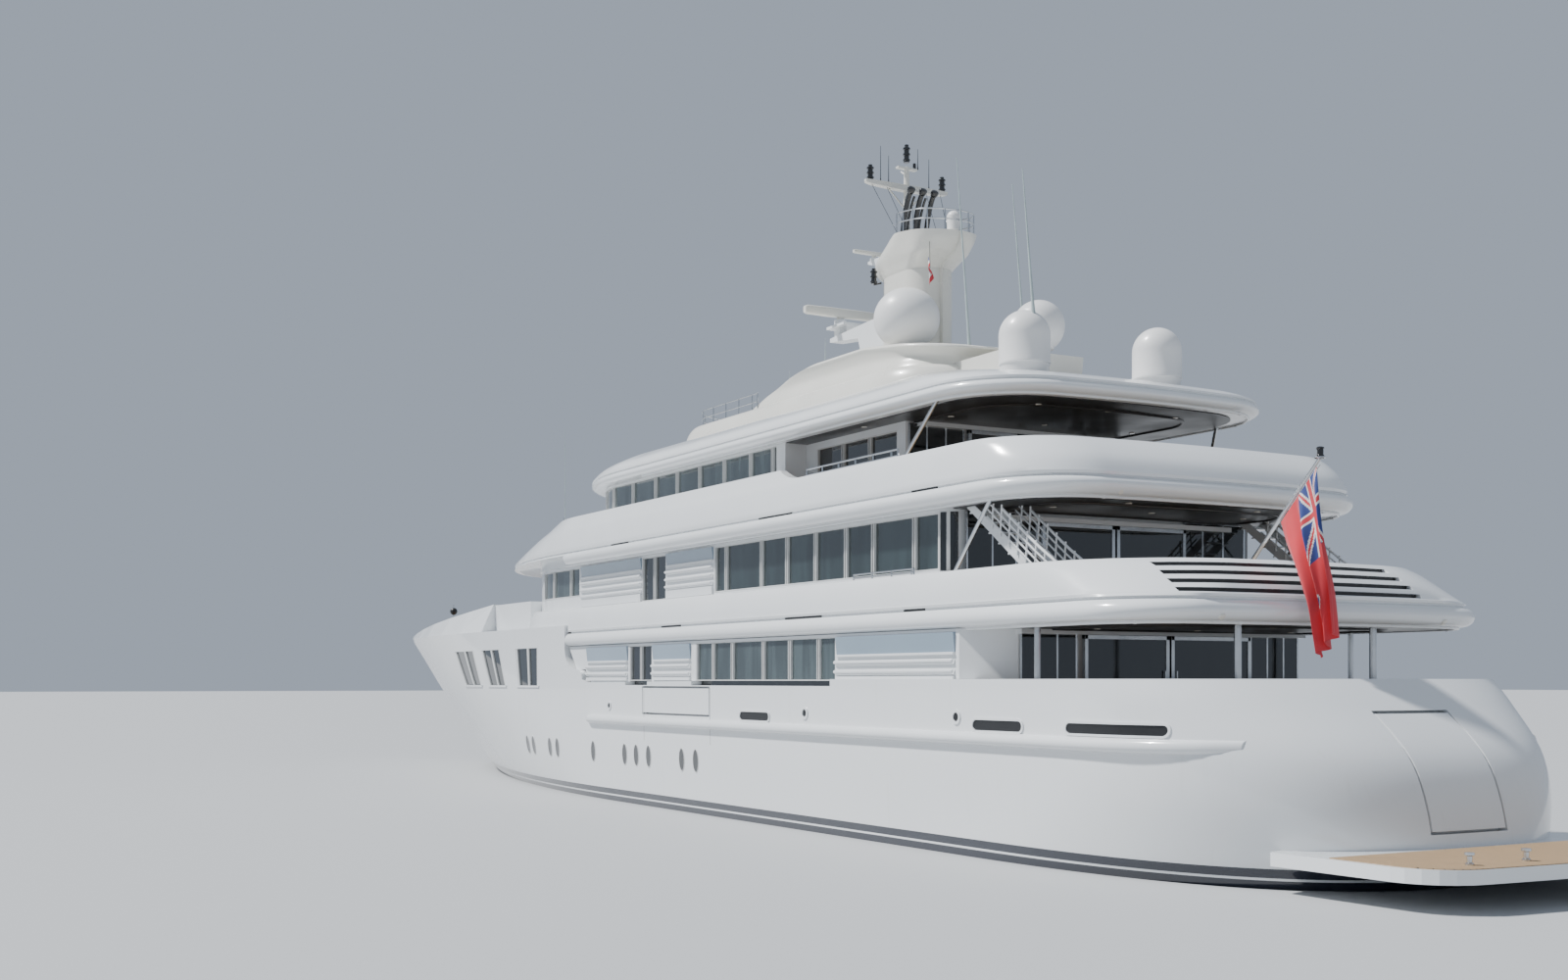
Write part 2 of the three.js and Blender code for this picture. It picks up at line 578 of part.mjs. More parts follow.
// The roll ends at the shoulder; forward of it the brow is a thin edge that reaches past the house
const BROW = { start: 238, z: 846 };
const overHouse = deckHalf({ nose: 1046, start: 480, half: UPPER_SIDE + 6, aft: UPPER_AFT, corner: 12 });
const underBrow = cut(
  box(BROW.start, 1700, -700, 700, BRIDGE_UNDERSIDE_Z - 22, BROW.z),
  prism(overHouse, BRIDGE_UNDERSIDE_Z - 30, BROW.z + 10),
);
const bridgeDeck = cut(
  bridgeBand,
  underBrow,
  stairWell,
  mirrored(stairWell),
  crossBar([
    [-3000, BRIDGE_RAIL_Z], [-1420, BRIDGE_RAIL_Z],
    [-1230, BRIDGE_SHELF_Z], [-1230, 1100], [-3000, 1100],
  ], -700, 700),
  box(BRIDGE_STEP + 20, 420, -400, 400, BRIDGE_FLOOR_Z, 1100),
  prism(deckHalf({ nose: BRIDGE_STEP + 21, start: BRIDGE_STEP + 21, half: 488, aft: -2376, corner: 170 }),
    BRIDGE_FLOOR_Z, 1100),
);
add('bridge_deck', bridgeDeck, 'white');

// Bridge deck house, stepped in aft of the wheelhouse
const bridgeHalf = (inset) => {
  const plan = { nose: 470 - inset, start: 40, half: BRIDGE_SIDE - inset, aft: -3000, corner: 10 };
  return [
    ...deckHalf(plan).slice(0, 13),
    [BRIDGE_STEP + inset, BRIDGE_SIDE - inset], [BRIDGE_STEP + inset, 360 - inset],
    [BRIDGE_AFT + inset, 360 - inset], [BRIDGE_AFT + inset, 0],
  ];
};
const bridgeWall = polyRing(bridgeHalf, BRIDGE_FLOOR_Z + SEAT_GAP, ROOF_UNDERSIDE_Z - SEAT_GAP, WALL);
const BRIDGE_DOOR = { half: 160, z0: BRIDGE_FLOOR_Z + 6, z1: 1060, travel: 150, face: -6 };
const bridgeHouse = join(cut(
  bridgeWall,
  shifted(bridgeDeck, 0, 0, SEAT_GAP), shifted(bridgeDeck, SEAT_GAP, 0, 0),
  shifted(bridgeDeck, 0, SEAT_GAP, 0), shifted(bridgeDeck, 0, -SEAT_GAP, 0),
  sideWindow(-1130, 200, 1000, 1079),
  ...[-1, 1].map((side) => box(210, 600, side === 1 ? 15 : -380, side === 1 ? 380 : -15, 1000, 1079)),
  sideWindow(-1660, -1240, 880, 1060),
  box(-1800, BRIDGE_AFT + 40, -BRIDGE_DOOR.half, BRIDGE_DOOR.half, BRIDGE_DOOR.z0, BRIDGE_DOOR.z1),
), headerTrack(BRIDGE_AFT, BRIDGE_DOOR));
add('bridge_house', bridgeHouse, 'white');
const bridgeLiner = (inset) => bridgeHalf(WALL + SEAT_GAP + inset);
const bridgeGlass = cut(
  polyRing(bridgeLiner, BRIDGE_FLOOR_Z + SEAT_GAP, ROOF_UNDERSIDE_Z - SEAT_GAP, GLASS),
  shifted(bridgeDeck, 0, 0, SEAT_GAP), shifted(bridgeDeck, SEAT_GAP, 0, 0),
  box(BRIDGE_STEP + 19, 600, -700, 700, 800, 990),
  box(-1800, BRIDGE_AFT + 40, -BRIDGE_DOOR.half, BRIDGE_DOOR.half, BRIDGE_DOOR.z0, BRIDGE_DOOR.z1),
);
add('bridge_glass', bridgeGlass, 'glass');

// Hardtop roof
const roof = deckLoft(bandLevels([
  [ROOF_UNDERSIDE_Z, 560, -100, 462, -2212, 215],
  [1086, 590, -100, 480, -2232, 225],
  [1096, 625, -100, 490, -2243, 232],
  [1106, 645, -100, 487, -2240, 230],
  [1112, 655, -100, 478, -2232, 226],
  [1118, 660, -100, 483, -2236, 228],
  [1140, 560, -110, 472, -2180, 220],
  [1160, 440, -130, 440, -2080, 210],
  [1180, 300, -180, 390, -1980, 200],
  [ROOF_CROWN_Z, 120, -260, 300, -1900, 180],
], LEVEL_NAMES));
add('roof', roof, 'white');

// Raised coachroof forward of the mast and the fairing that sweeps up from it to the platform,
// whose rim falls away aft
const fallAft = (z, share) => (x) => z - share * Math.max(0, -x - 1290) * 0.11;
const fairing = deckLoft(bandLevels([
  [ROOF_CROWN_Z + SEAT_GAP, -40, -260, 288, -1640, 200],
  [1232, -48, -270, 280, -1632, 190],
  [1256, -64, -290, 268, -1618, 180],
  [1263, -90, -310, 256, -1612, 176],
  [fallAft(1268, 0.05), -505, -645, 244, -1608, 174],
  [fallAft(1278, 0.2), -526, -666, 240, -1606, 172],
  [fallAft(1300, 0.5), -576, -716, 230, -1602, 170],
  [fallAft(1316, 0.7), -645, -785, 228, -1604, 170],
  [fallAft(1335, 0.85), -736, -876, 234, -1620, 176],
  [fallAft(1345, 1), -830, -970, 240, -1638, 186],
  [fallAft(1352, 1), -886, -1026, 236, -1634, 184],
  [fallAft(PLATFORM_Z, 1), -960, -1100, 220, -1600, 170],
], LEVEL_NAMES), true);
add('mast_fairing', fairing, 'cream');

// Mast tower and its flared head, whose top falls away aft
const fallTop = (z, share) => (x) => z - share * Math.max(0, -x - 1203) * 0.123;
const towerBlank = deckLoft(bandLevels([
  [PLATFORM_Z - 36, -1086, -1172, 75, -1334, 73],
  [1600, -1086, -1172, 75, -1334, 73],
  [1608, -1065, -1175, 78, -1345, 76],
  [fallTop(1625, 0.2), -1038, -1185, 83, -1370, 81],
  [fallTop(1645, 0.45), -1032, -1200, 90, -1400, 88],
  [fallTop(1660, 0.6), -1040, -1220, 94, -1412, 92],
  [fallTop(1690, 0.9), -1106, -1260, 100, -1430, 99],
  [fallTop(DISH_TOP_Z, 1), -1161, -1290, 106, -1437, 105],
], LEVEL_NAMES), true);
const onFairing = shifted(fairing, 0, 0, SEAT_GAP);
const tower = cut(towerBlank, onFairing);
const onTower = shifted(tower, 0, 0, SEAT_GAP);
const beforeTower = shifted(tower, SEAT_GAP, 0, 0);
add('mast_tower', tower, 'cream');

// Pole mast with its yard and light stacks
const POLE_X = -1155;
const YARD_Z = 1878;
const poleMast = join(
  rod([POLE_X, 0, 1690], [POLE_X, 0, 1960], 9, 12),
  box(POLE_X - 11, POLE_X + 11, -146, 146, YARD_Z - 9, YARD_Z + 7),
  rod([POLE_X, 0, 1950], [POLE_X, 0, 2009], 10, 12),
  ...[-1, 1].map((side) => rod([POLE_X, side * 128, YARD_Z], [POLE_X, side * 128, 1928], 10, 12)),
);
add('pole_mast', cut(poleMast, onTower, beforeTower), 'white');

// Three dark exhaust pipes on one foot
function pipe(points, radius, sides = 8, steps = 10) {
  const curve = new THREE.CatmullRomCurve3(points.map((point) => new THREE.Vector3(...point)));
  const ring = new THREE.Shape();
  ring.absarc(0, 0, radius, 0, Math.PI * 2);
  return new THREE.ExtrudeGeometry(ring, {
    steps, curveSegments: sides / 2, extrudePath: curve, bevelEnabled: false });
}

const exhaustLine = (y) => [[-1196, y, 1716], [-1206, y, 1770], [-1224, y, 1818], [-1246, y, 1850]];
const exhausts = join(
  box(-1222, -1176, -56, 56, DISH_TOP_Z - 13, DISH_TOP_Z + 8),
  ...[-41, 0, 41].map((y) => pipe(exhaustLine(y), 8)),
);
add('exhaust_pipes', cut(exhausts, onTower), 'black');

// Satellite domes
function dome(radius, shoulder, foot) {
  const profile = [[0, 0], [foot, 0], [foot, 14], [radius, 26], [radius, shoulder]];
  for (let i = 1; i <= 6; i += 1) {
    const angle = (i / 6) * Math.PI / 2;
    profile.push([i === 6 ? 0 : radius * Math.cos(angle), shoulder + radius * Math.sin(angle)]);
  }
  return profile;
}

function ball(radius, foot, squash = 1) {
  const profile = [[0, 0], [foot, 0], [foot, 6]];
  const first = Math.asin(foot / radius);
  for (let i = 0; i <= 9; i += 1) {
    const angle = first + (Math.PI - first) * (i / 9);
    const rise = radius * squash * (Math.cos(first) - Math.cos(angle));
    profile.push([i === 9 ? 0 : radius * Math.sin(angle), 6 + rise]);
  }
  return profile;
}

add('dome_port', cut(spun(ball(94, 44, 0.94), -1374, 143, 1343), onFairing), 'white');
add('dome_small', cut(spun(dome(19.5, 46, 14), -1400, 0, 1684), onTower), 'white');
for (const [name, y] of [['dome_aft_port', 215], ['dome_aft_starboard', -215]]) {
  const shape = spun(dome(64, 108, 50), -2017, y, 1150);
  add(name, cut(shape, shifted(roof, 0, 0, SEAT_GAP)), 'white');
}

// Locker on the roof behind the fairing, with the centre dome on its flat top
const LOCKER_TOP_Z = 1270;
const locker = crossBar([
  [-1804, ROOF_CROWN_Z - 60], [-1560, ROOF_CROWN_Z - 60], [-1560, LOCKER_TOP_Z],
  [-1822, LOCKER_TOP_Z]], -130, 130);
const roofLocker = cut(locker, shifted(roof, 0, 0, SEAT_GAP), shifted(fairing, -SEAT_GAP, 0, 0), onFairing);
add('roof_locker', roofLocker, 'cream');
const centreDome = join(
  spun(ball(70, 40), -1795, 0, 1281),
  rod([-1795, 0, LOCKER_TOP_Z + SEAT_GAP], [-1795, 0, 1285], 26, 20),
);
add('dome_centre', centreDome, 'white');

// Radars: a pylon each and a scanner bar that turns on it
const MAIN_RADAR = { x: -770, z: 1552, length: 264, thick: 24, depth: 30 };
const SMALL_RADAR = { x: -973, z: 1706, length: 150, thick: 14, depth: 12 };
const mainPylon = join(
  crossBar([[-1100, 1340], [-960, 1340], [-915, 1468], [-745, 1484], [-745, 1496], [-1100, 1516]], -24, 24),
  box(-845, -740, -34, 34, 1524, 1532),
  rod([MAIN_RADAR.x, 0, 1490], [MAIN_RADAR.x, 0, MAIN_RADAR.z], 20, 14),
);
add('radar_main_pylon', cut(mainPylon, onFairing, beforeTower), 'white');
const smallPylon = join(
  crossBar([[-1060, 1655], [-1000, 1676], [-955, 1690], [-955, 1698], [-1090, 1700]], -12, 12),
  rod([SMALL_RADAR.x, 0, 1694], [SMALL_RADAR.x, 0, SMALL_RADAR.z], 13, 12),
);
add('radar_small_pylon', cut(smallPylon, onTower, beforeTower), 'white');
function scanner({ x, z, length, thick, depth }) {
  return join(
    box(x - thick / 2, x + thick / 2, -length / 2, length / 2, z + 8, z + 8 + depth),
    rod([x, 0, z + SEAT_GAP], [x, 0, z + 10], thick / 2, 12),
  );
}

add('radar_main_scanner', scanner(MAIN_RADAR), 'white');
add('radar_small_scanner', scanner(SMALL_RADAR), 'white');

// Stanchions
const poles = [
  ['post_aft', [-2740, 203, MAIN_DECK_Z + SEAT_GAP], [-2740, 203, UPPER_UNDERSIDE_Z - SEAT_GAP], 8],
  ['post_side', [-2420, 485, MAIN_DECK_Z + SEAT_GAP], [-2420, 485, UPPER_UNDERSIDE_Z - SEAT_GAP], 7],
  ['stanchion_upper', [-2126, 502, UPPER_RAIL_Z - 4], [-2276, 505, BRIDGE_UNDERSIDE_Z + 4], 5],
  ['stanchion_bridge', [-1900, 495, BRIDGE_RAIL_Z - 4], [-1984, 453, ROOF_UNDERSIDE_Z + 4], 5],
];
for (const [name, from, to, radius] of poles) {
  const shape = cut(
    rod(from, to, radius, 10),
    box(-2400, -2100, 400, 600, 600, UPPER_RAIL_Z + SEAT_GAP),
    box(-2500, -2200, 400, 600, BRIDGE_UNDERSIDE_Z - SEAT_GAP, BRIDGE_UNDERSIDE_Z + 30),
    box(-2100, -1800, 400, 600, 900, BRIDGE_RAIL_Z + SEAT_GAP),
    box(-2100, -1800, 400, 600, ROOF_UNDERSIDE_Z - SEAT_GAP, ROOF_UNDERSIDE_Z + 30),
  );
  add(`${name}_port`, shape, 'chrome');
  add(`${name}_starboard`, mirrored(shape), 'chrome');
}

// Sliding glass doors in the aft bulkheads
const slidingDoors = [
  ['saloon_door', MAIN_AFT, SALOON],
  ['upper_door', UPPER_AFT, UPPER_DOOR],
  ['bridge_door', BRIDGE_AFT, BRIDGE_DOOR],
];
for (const [name, aft, { half, z0, z1, face }] of slidingDoors) {
  const leaf = box(aft + face - LEAF_THICK, aft + face, 3, half + LEAF_LAP, z0 - 1, z1 + LEAF_RISE);
  add(`${name}_port`, leaf, 'glass');
  add(`${name}_starboard`, mirrored(leaf), 'glass');
}

// Stairs from the upper aft deck to the bridge deck: two stringers and a tread between them per step
const rise = BRIDGE_FLOOR_Z - UPPER_FLOOR_Z;
const run = STAIR.head - STAIR.foot;
const stringer = (y0, y1) => crossBar([
  [STAIR.foot, UPPER_FLOOR_Z + SEAT_GAP], [STAIR.foot + STAIR.depth, UPPER_FLOOR_Z + SEAT_GAP],
  [STAIR.head - SEAT_GAP, BRIDGE_FLOOR_Z - STAIR.depth], [STAIR.head - SEAT_GAP, BRIDGE_FLOOR_Z],
  [STAIR.foot, UPPER_FLOOR_Z + 8]], y0, y1);
const treads = [];
for (let i = 1; i < STAIR.steps; i += 1) {
  const x = STAIR.foot + run * (i / STAIR.steps);
  const z = UPPER_FLOOR_Z + rise * (i / STAIR.steps) - 10;
  treads.push(box(x - 6, x + 26, STAIR.y0 + 2, STAIR.y1 - 2, z - 4, z));
}
const stair = join(
  stringer(STAIR.y0, STAIR.y0 + STAIR.rail),
  stringer(STAIR.y1 - STAIR.rail, STAIR.y1),
  ...treads,
);
add('stair_port', stair, 'white');
add('stair_starboard', mirrored(stair), 'white');

// Ensign staff, raked aft from its foot on the upper deck, and the ensign as a plain hanging sheet
const STAFF = { y: 100, foot: [-2582, UPPER_FLOOR_Z + SEAT_GAP], head: [-2870, 863], radius: 5 };
const staffRod = (from, to, radius) => rod([from[0], STAFF.y, from[1]], [to[0], STAFF.y, to[1]], radius, 10);
const staff = cut(
  join(
    staffRod([STAFF.foot[0] + 6, STAFF.foot[1] - 6], STAFF.head, STAFF.radius),
    box(-2600, -2560, STAFF.y - 14, STAFF.y + 14, UPPER_FLOOR_Z + SEAT_GAP, UPPER_FLOOR_Z + 6),
    staffRod(STAFF.head, [STAFF.head[0], STAFF.head[1] + 24], 9),
  ),
  box(-2650, -2500, 50, 150, 500, UPPER_FLOOR_Z + SEAT_GAP),
);
add('ensign_staff', staff, 'chrome');
const flagShape = [
  [-2929, 613], [-2929, 523], [-2882, 450], [-2862, 507],
  [-2852, 572], [-2755.8, 735.3], [-2865.8, 851],
];
const flag = crossBar(flagShape, STAFF.y - 3, STAFF.y + 3);
add('ensign', cut(flag, shifted(upperDeck, -SEAT_GAP, 0, 0)), 'red');

// Underwater gear
const PROP = { x: -2720, z: -258, radius: 82, hub: 22 };
const shaftLine = join(
  rod([-2050, SHAFT_Y, -200], [PROP.x + 10, SHAFT_Y, PROP.z - 1.2], 12, 12),
  crossBar([[-2645, -264], [-2595, -264], [-2560, -60], [-2640, -60]], SHAFT_Y - 5, SHAFT_Y + 5),
  rod([-2650, SHAFT_Y, PROP.z + 3.7], [-2590, SHAFT_Y, PROP.z + 8.3], 19, 12),
);
const hubClear = box(PROP.x - 60, PROP.x + PROP.hub + SEAT_GAP, 100, 300, -300, -200);
const shaft = cut(
  shaftLine,
  hubClear,
  shifted(hull, 0, 0, -SEAT_GAP), shifted(hull, 0, SEAT_GAP, 0), shifted(hull, 0, -SEAT_GAP, 0),
);
add('shaft_port', shaft, 'bronze');
add('shaft_starboard', mirrored(shaft), 'bronze');

function propeller(hand) {
  const blades = [];
  for (let i = 0; i < 4; i += 1) {
    const blade = new THREE.Shape();
    blade.moveTo(8, -10);
    blade.bezierCurveTo(34, -40, 76, -36, PROP.radius, -4);
    blade.bezierCurveTo(76, 30, 34, 26, 8, 10);
    const plate = new THREE.ExtrudeGeometry(blade, { depth: 5, bevelEnabled: false, curveSegments: 6 });
    plate.translate(0, 0, -2.5).rotateX(hand * 0.55).rotateY(-Math.PI / 2);
    plate.rotateX((i / 4) * Math.PI * 2);
    blades.push(plate);
  }
  const hub = spun([[0, -24], [14, -24], [18, 0], [18, PROP.hub], [0, PROP.hub]], 0, 0, 0, 16);
  return join(hub.rotateY(Math.PI / 2), ...blades).translate(PROP.x, hand * SHAFT_Y, PROP.z);
}

add('propeller_port', propeller(1), 'bronze');
add('propeller_starboard', propeller(-1), 'bronze');
const rudderRings = [[-335, 46], [-150, 62]].map(([z, chord]) => [
  [30, 0], [12, 9], [-chord, 1], [-chord, -1], [12, -9],
].map(([x, y]) => new THREE.Vector3(RUDDER.x + x, SHAFT_Y + y, z)));
const rudder = join(
  loft(rudderRings),
  rod([RUDDER.x, SHAFT_Y, -160], [RUDDER.x, SHAFT_Y, RUDDER.port - SEAT_GAP], 8, 12),
);
add('rudder_port', rudder, 'white');
add('rudder_starboard', mirrored(rudder), 'white');

// Stabiliser fins on the turn of the bilge
const finRings = [[12, 70], [108, 52]].map(([out, chord]) => [
  [chord, 0], [chord * 0.4, 7], [-chord, 1], [-chord, -1], [chord * 0.4, -7],
].map(([x, y]) => new THREE.Vector3(x, y, out)));
const finBlade = loft(finRings).rotateX(-Math.atan2(FIN.out[1], FIN.out[2]));
const fin = join(finBlade.translate(FIN.x, FIN.y, FIN.z), rod(alongFin(4 + SEAT_GAP), alongFin(20), 9, 12));
add('fin_port', fin, 'white');
add('fin_starboard', mirrored(fin), 'white');

export default yacht;
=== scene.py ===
"""Looks of a white motor yacht, a 1:10 scale model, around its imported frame. +X to the bow, +Y to port.

Tables and helpers work in millimetres of the model; Shape.make turns them into metres."""
import math

import bpy
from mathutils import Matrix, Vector


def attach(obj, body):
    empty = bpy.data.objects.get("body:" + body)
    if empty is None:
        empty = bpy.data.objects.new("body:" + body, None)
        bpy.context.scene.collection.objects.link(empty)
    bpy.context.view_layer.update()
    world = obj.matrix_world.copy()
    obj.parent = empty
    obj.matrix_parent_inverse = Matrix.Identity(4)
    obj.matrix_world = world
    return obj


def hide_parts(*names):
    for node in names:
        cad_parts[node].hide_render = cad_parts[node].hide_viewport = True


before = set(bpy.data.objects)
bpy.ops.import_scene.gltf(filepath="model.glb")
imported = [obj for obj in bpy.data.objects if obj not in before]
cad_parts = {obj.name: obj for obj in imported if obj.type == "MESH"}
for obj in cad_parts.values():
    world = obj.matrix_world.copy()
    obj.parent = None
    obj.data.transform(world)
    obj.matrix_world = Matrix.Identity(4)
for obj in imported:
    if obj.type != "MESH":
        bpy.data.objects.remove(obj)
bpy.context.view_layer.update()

# Camera of the photograph: on the quay off the port quarter, looking forward and level
CAMERA_PLACE = (-5.38125, 2.76675, 0.401625)
CAMERA_HEADING = math.radians(29.04)
CAMERA_LENS = 38.59
CAMERA_SHIFT = 0.1215


def placed(name, data):
    """A new object in the scene."""
    obj = bpy.data.objects.new(name, data)
    bpy.context.scene.collection.objects.link(obj)
    return obj


def make_camera():
    data = bpy.data.cameras.new("camera")
    data.lens = CAMERA_LENS
    data.sensor_width = 36.0
    data.shift_y = CAMERA_SHIFT
    data.clip_end = 200.0
    camera = placed("camera", data)
    camera.location = CAMERA_PLACE
    look = Vector((math.cos(CAMERA_HEADING), -math.sin(CAMERA_HEADING), 0.0))
    camera.rotation_euler = look.to_track_quat("-Z", "Y").to_euler()
    bpy.context.scene.camera = camera


make_camera()


# Materials
def new_material(name, color, roughness, metallic=0.0, coat=0.0):
    material = bpy.data.materials.new(name)
    material.use_nodes = True
    shader = material.node_tree.nodes["Principled BSDF"]
    shader.inputs["Base Color"].default_value = (*color, 1)
    shader.inputs["Roughness"].default_value = roughness
    shader.inputs["Metallic"].default_value = metallic
    shader.inputs["Coat Weight"].default_value = coat
    return material


def node_of(material, kind, inputs=None, **settings):
    node = material.node_tree.nodes.new(kind)
    for key, value in settings.items():
        setattr(node, key, value)
    for key, value in (inputs or {}).items():
        if isinstance(value, bpy.types.NodeSocket):
            material.node_tree.links.new(value, node.inputs[key])
        else:
            node.inputs[key].default_value = value
    return node


def place_of(material):
    return node_of(material, "ShaderNodeTexCoord").outputs["Object"]


def noise(material, scale, detail=3.0, stretch=(1, 1, 1)):
    place = node_of(material, "ShaderNodeMapping", {"Vector": place_of(material), "Scale": stretch})
    inputs = {"Vector": place.outputs[0], "Scale": scale, "Detail": detail}
    return node_of(material, "ShaderNodeTexNoise", inputs).outputs["Fac"]


def spread(material, value, low, high, out_low, out_high):
    """value between low and high, mapped to out_low and out_high."""
    inputs = {"Value": value, "From Min": low, "From Max": high, "To Min": out_low, "To Max": out_high}
    return node_of(material, "ShaderNodeMapRange", inputs).outputs["Result"]


def mix(material, factor, first, second):
    node = node_of(material, "ShaderNodeMix", data_type="RGBA")
    sockets = [s for s in node.inputs if s.type == "RGBA"]
    for socket, value in ((node.inputs[0], factor), (sockets[0], first), (sockets[1], second)):
        if isinstance(value, bpy.types.NodeSocket):
            material.node_tree.links.new(value, socket)
        else:
            socket.default_value = value if isinstance(value, float) else (*value, 1)
    return [s for s in node.outputs if s.type == "RGBA"][0]


def shader_input(material, key, socket):
    material.node_tree.links.new(socket, material.node_tree.nodes["Principled BSDF"].inputs[key])


def bump(material, height, strength, distance=0.001):
    node = node_of(material, "ShaderNodeBump", {"Height": height, "Strength": strength, "Distance": distance})
    shader_input(material, "Normal", node.outputs["Normal"])


def maths(material, operation, *values):
    return node_of(material, "ShaderNodeMath", dict(enumerate(values)), operation=operation).outputs[0]


def coordinate(material, axis):
    """One coordinate of the place on the object, in metres."""
    return node_of(material, "ShaderNodeSeparateXYZ", {"Vector": place_of(material)}).outputs[axis]


def toned(material, pattern, low, high, shade, color):
    """A color that a pattern darkens to a share of itself."""
    dark = tuple(c * shade for c in color)
    return mix(material, spread(material, pattern, low, high, 0.0, 1.0), dark, color)


def weathered(name, color, shade, rough, scale=6.0, grain=260.0, depth=0.05, metallic=0.0, coat=0.0):
    """Uneven tone, uneven gloss and a fine grain over a plain finish."""
    material = new_material(name, color, rough, metallic, coat)
    wide = noise(material, scale, 4.0)
    shader_input(material, "Base Color", toned(material, wide, 0.35, 0.7, shade, color))
    shader_input(material, "Roughness", spread(material, wide, 0.3, 0.7, rough * 0.8, rough * 1.25))
    bump(material, noise(material, grain, 2.0), depth, 0.0004)
    return material


WHITE = (0.80, 0.82, 0.83)
WHITE_SHADE = 0.975
UNDERWATER = (0.018, 0.022, 0.035)
white_paint = weathered("white_paint", WHITE, WHITE_SHADE, 0.2, coat=0.6)
cream_paint = weathered("cream_paint", (0.74, 0.73, 0.67), 0.965, 0.3, coat=0.3)
steel = weathered("steel", (0.62, 0.64, 0.66), 0.9, 0.2, 30.0, 400.0, metallic=1.0)
bronze = weathered("bronze", (0.55, 0.37, 0.16), 0.75, 0.35, 20.0, 300.0, metallic=1.0)
black_paint = weathered("black_paint", (0.016, 0.017, 0.019), 0.7, 0.35, 20.0, 300.0)
# Painted shade: the ceilings and coves under the overhangs are near black to stand for the shade under them
soffit_painted_shade = weathered("soffit_painted_shade", (0.030, 0.030, 0.031), 0.85, 0.35)
dome_paint = weathered("dome_paint", (0.80, 0.80, 0.79), 0.97, 0.35, coat=0.2)
gloss_black = weathered("gloss_black", (0.012, 0.012, 0.013), 0.7, 0.12, 20.0, 300.0, coat=0.8)
aerial_paint = weathered("aerial_paint", (0.42, 0.50, 0.50), 0.85, 0.4, 30.0, 300.0)
lamp_glass = weathered("lamp_glass", (0.85, 0.83, 0.76), 0.95, 0.2, 40.0, 300.0, coat=0.5)
frame_paint = weathered("frame_paint", (0.66, 0.67, 0.66), 0.93, 0.3, 20.0, 300.0, coat=0.3)
# Painted reflection and painted shade: the blue-grey stands for the sky mirrored in white gloss panels in
# shade
sky_reflection_and_shade = weathered("sky_reflection_and_shade", (0.23, 0.31, 0.39), 0.93, 0.16, coat=0.7)
BOOT_TOP_Z = 0.041
BOOT_LINE_Z = 0.020
BOOT_LINE_HEIGHT = 0.005


def hull_material():
    """White above the boot top, a dark boot top with a fine white line in it, and dark below."""
    material = new_material("hull_paint", WHITE, 0.16, coat=0.7)
    wide = noise(material, 3.0, 4.0)
    streaks = noise(material, 5.0, 5.0, (9, 9, 0.5))
    white = toned(material, wide, 0.35, 0.7, WHITE_SHADE, WHITE)
    white = mix(material, spread(material, streaks, 0.62, 0.8, 0.0, 0.12), white, (0.52, 0.50, 0.44))
    height = coordinate(material, "Z")
    below = maths(material, "LESS_THAN", height, BOOT_TOP_Z)
    away = maths(material, "ABSOLUTE", maths(material, "SUBTRACT", height, BOOT_LINE_Z))
    line = maths(material, "LESS_THAN", away, BOOT_LINE_HEIGHT / 2)
    dark = mix(material, line, UNDERWATER, WHITE)
    shader_input(material, "Base Color", mix(material, below, white, dark))
    shader_input(material, "Roughness", spread(material, wide, 0.3, 0.7, 0.13, 0.2))
    bump(material, noise(material, 220.0, 2.0), 0.04, 0.0004)
    return material


hull_paint = hull_material()


def glass_material(name, color):
    """Tinted window glass: dark and glossy, with a faint uneven tint as of a curtain behind it."""
    material = new_material(name, color, 0.04, coat=1.0)
    folds = noise(material, 8.0, 2.0, (3, 3, 0.4))
    shader_input(material, "Base Color", toned(material, folds, 0.4, 0.65, 0.55, color))
    shader_input(material, "Roughness", spread(material, folds, 0.3, 0.7, 0.03, 0.06))
    bump(material, noise(material, 5.0, 1.0), 0.05, 0.002)
    return material


dark_glass = glass_material("dark_glass", (0.010, 0.014, 0.016))
green_glass = glass_material("green_glass", (0.030, 0.046, 0.048))
pale_glass = glass_material("pale_glass", (0.075, 0.10, 0.105))


PLANK_WIDTH = 0.012
SEAM_SHARE = 0.12


def teak_material():
    """Narrow fore-and-aft planks with dark seams and a wood grain along them."""
    color = (0.42, 0.28, 0.15)
    material = new_material("teak", color, 0.65)
    grain = noise(material, 30.0, 6.0, (0.6, 14, 1))
    wood = toned(material, grain, 0.3, 0.75, 0.72, color)
    planks = maths(material, "MULTIPLY", coordinate(material, "Y"), 1 / PLANK_WIDTH)
    seam = maths(material, "LESS_THAN", maths(material, "FRACT", planks), SEAM_SHARE)
    shader_input(material, "Base Color", mix(material, seam, wood, (0.02, 0.018, 0.016)))
    shader_input(material, "Roughness", spread(material, grain, 0.3, 0.7, 0.55, 0.75))
    bump(material, spread(material, seam, 0.0, 1.0, 1.0, 0.0), 0.3, 0.0008)
    return material


teak = teak_material()


# Mesh builder
MM = 0.001
SMOOTH = 34
HULL_SMOOTH = 28


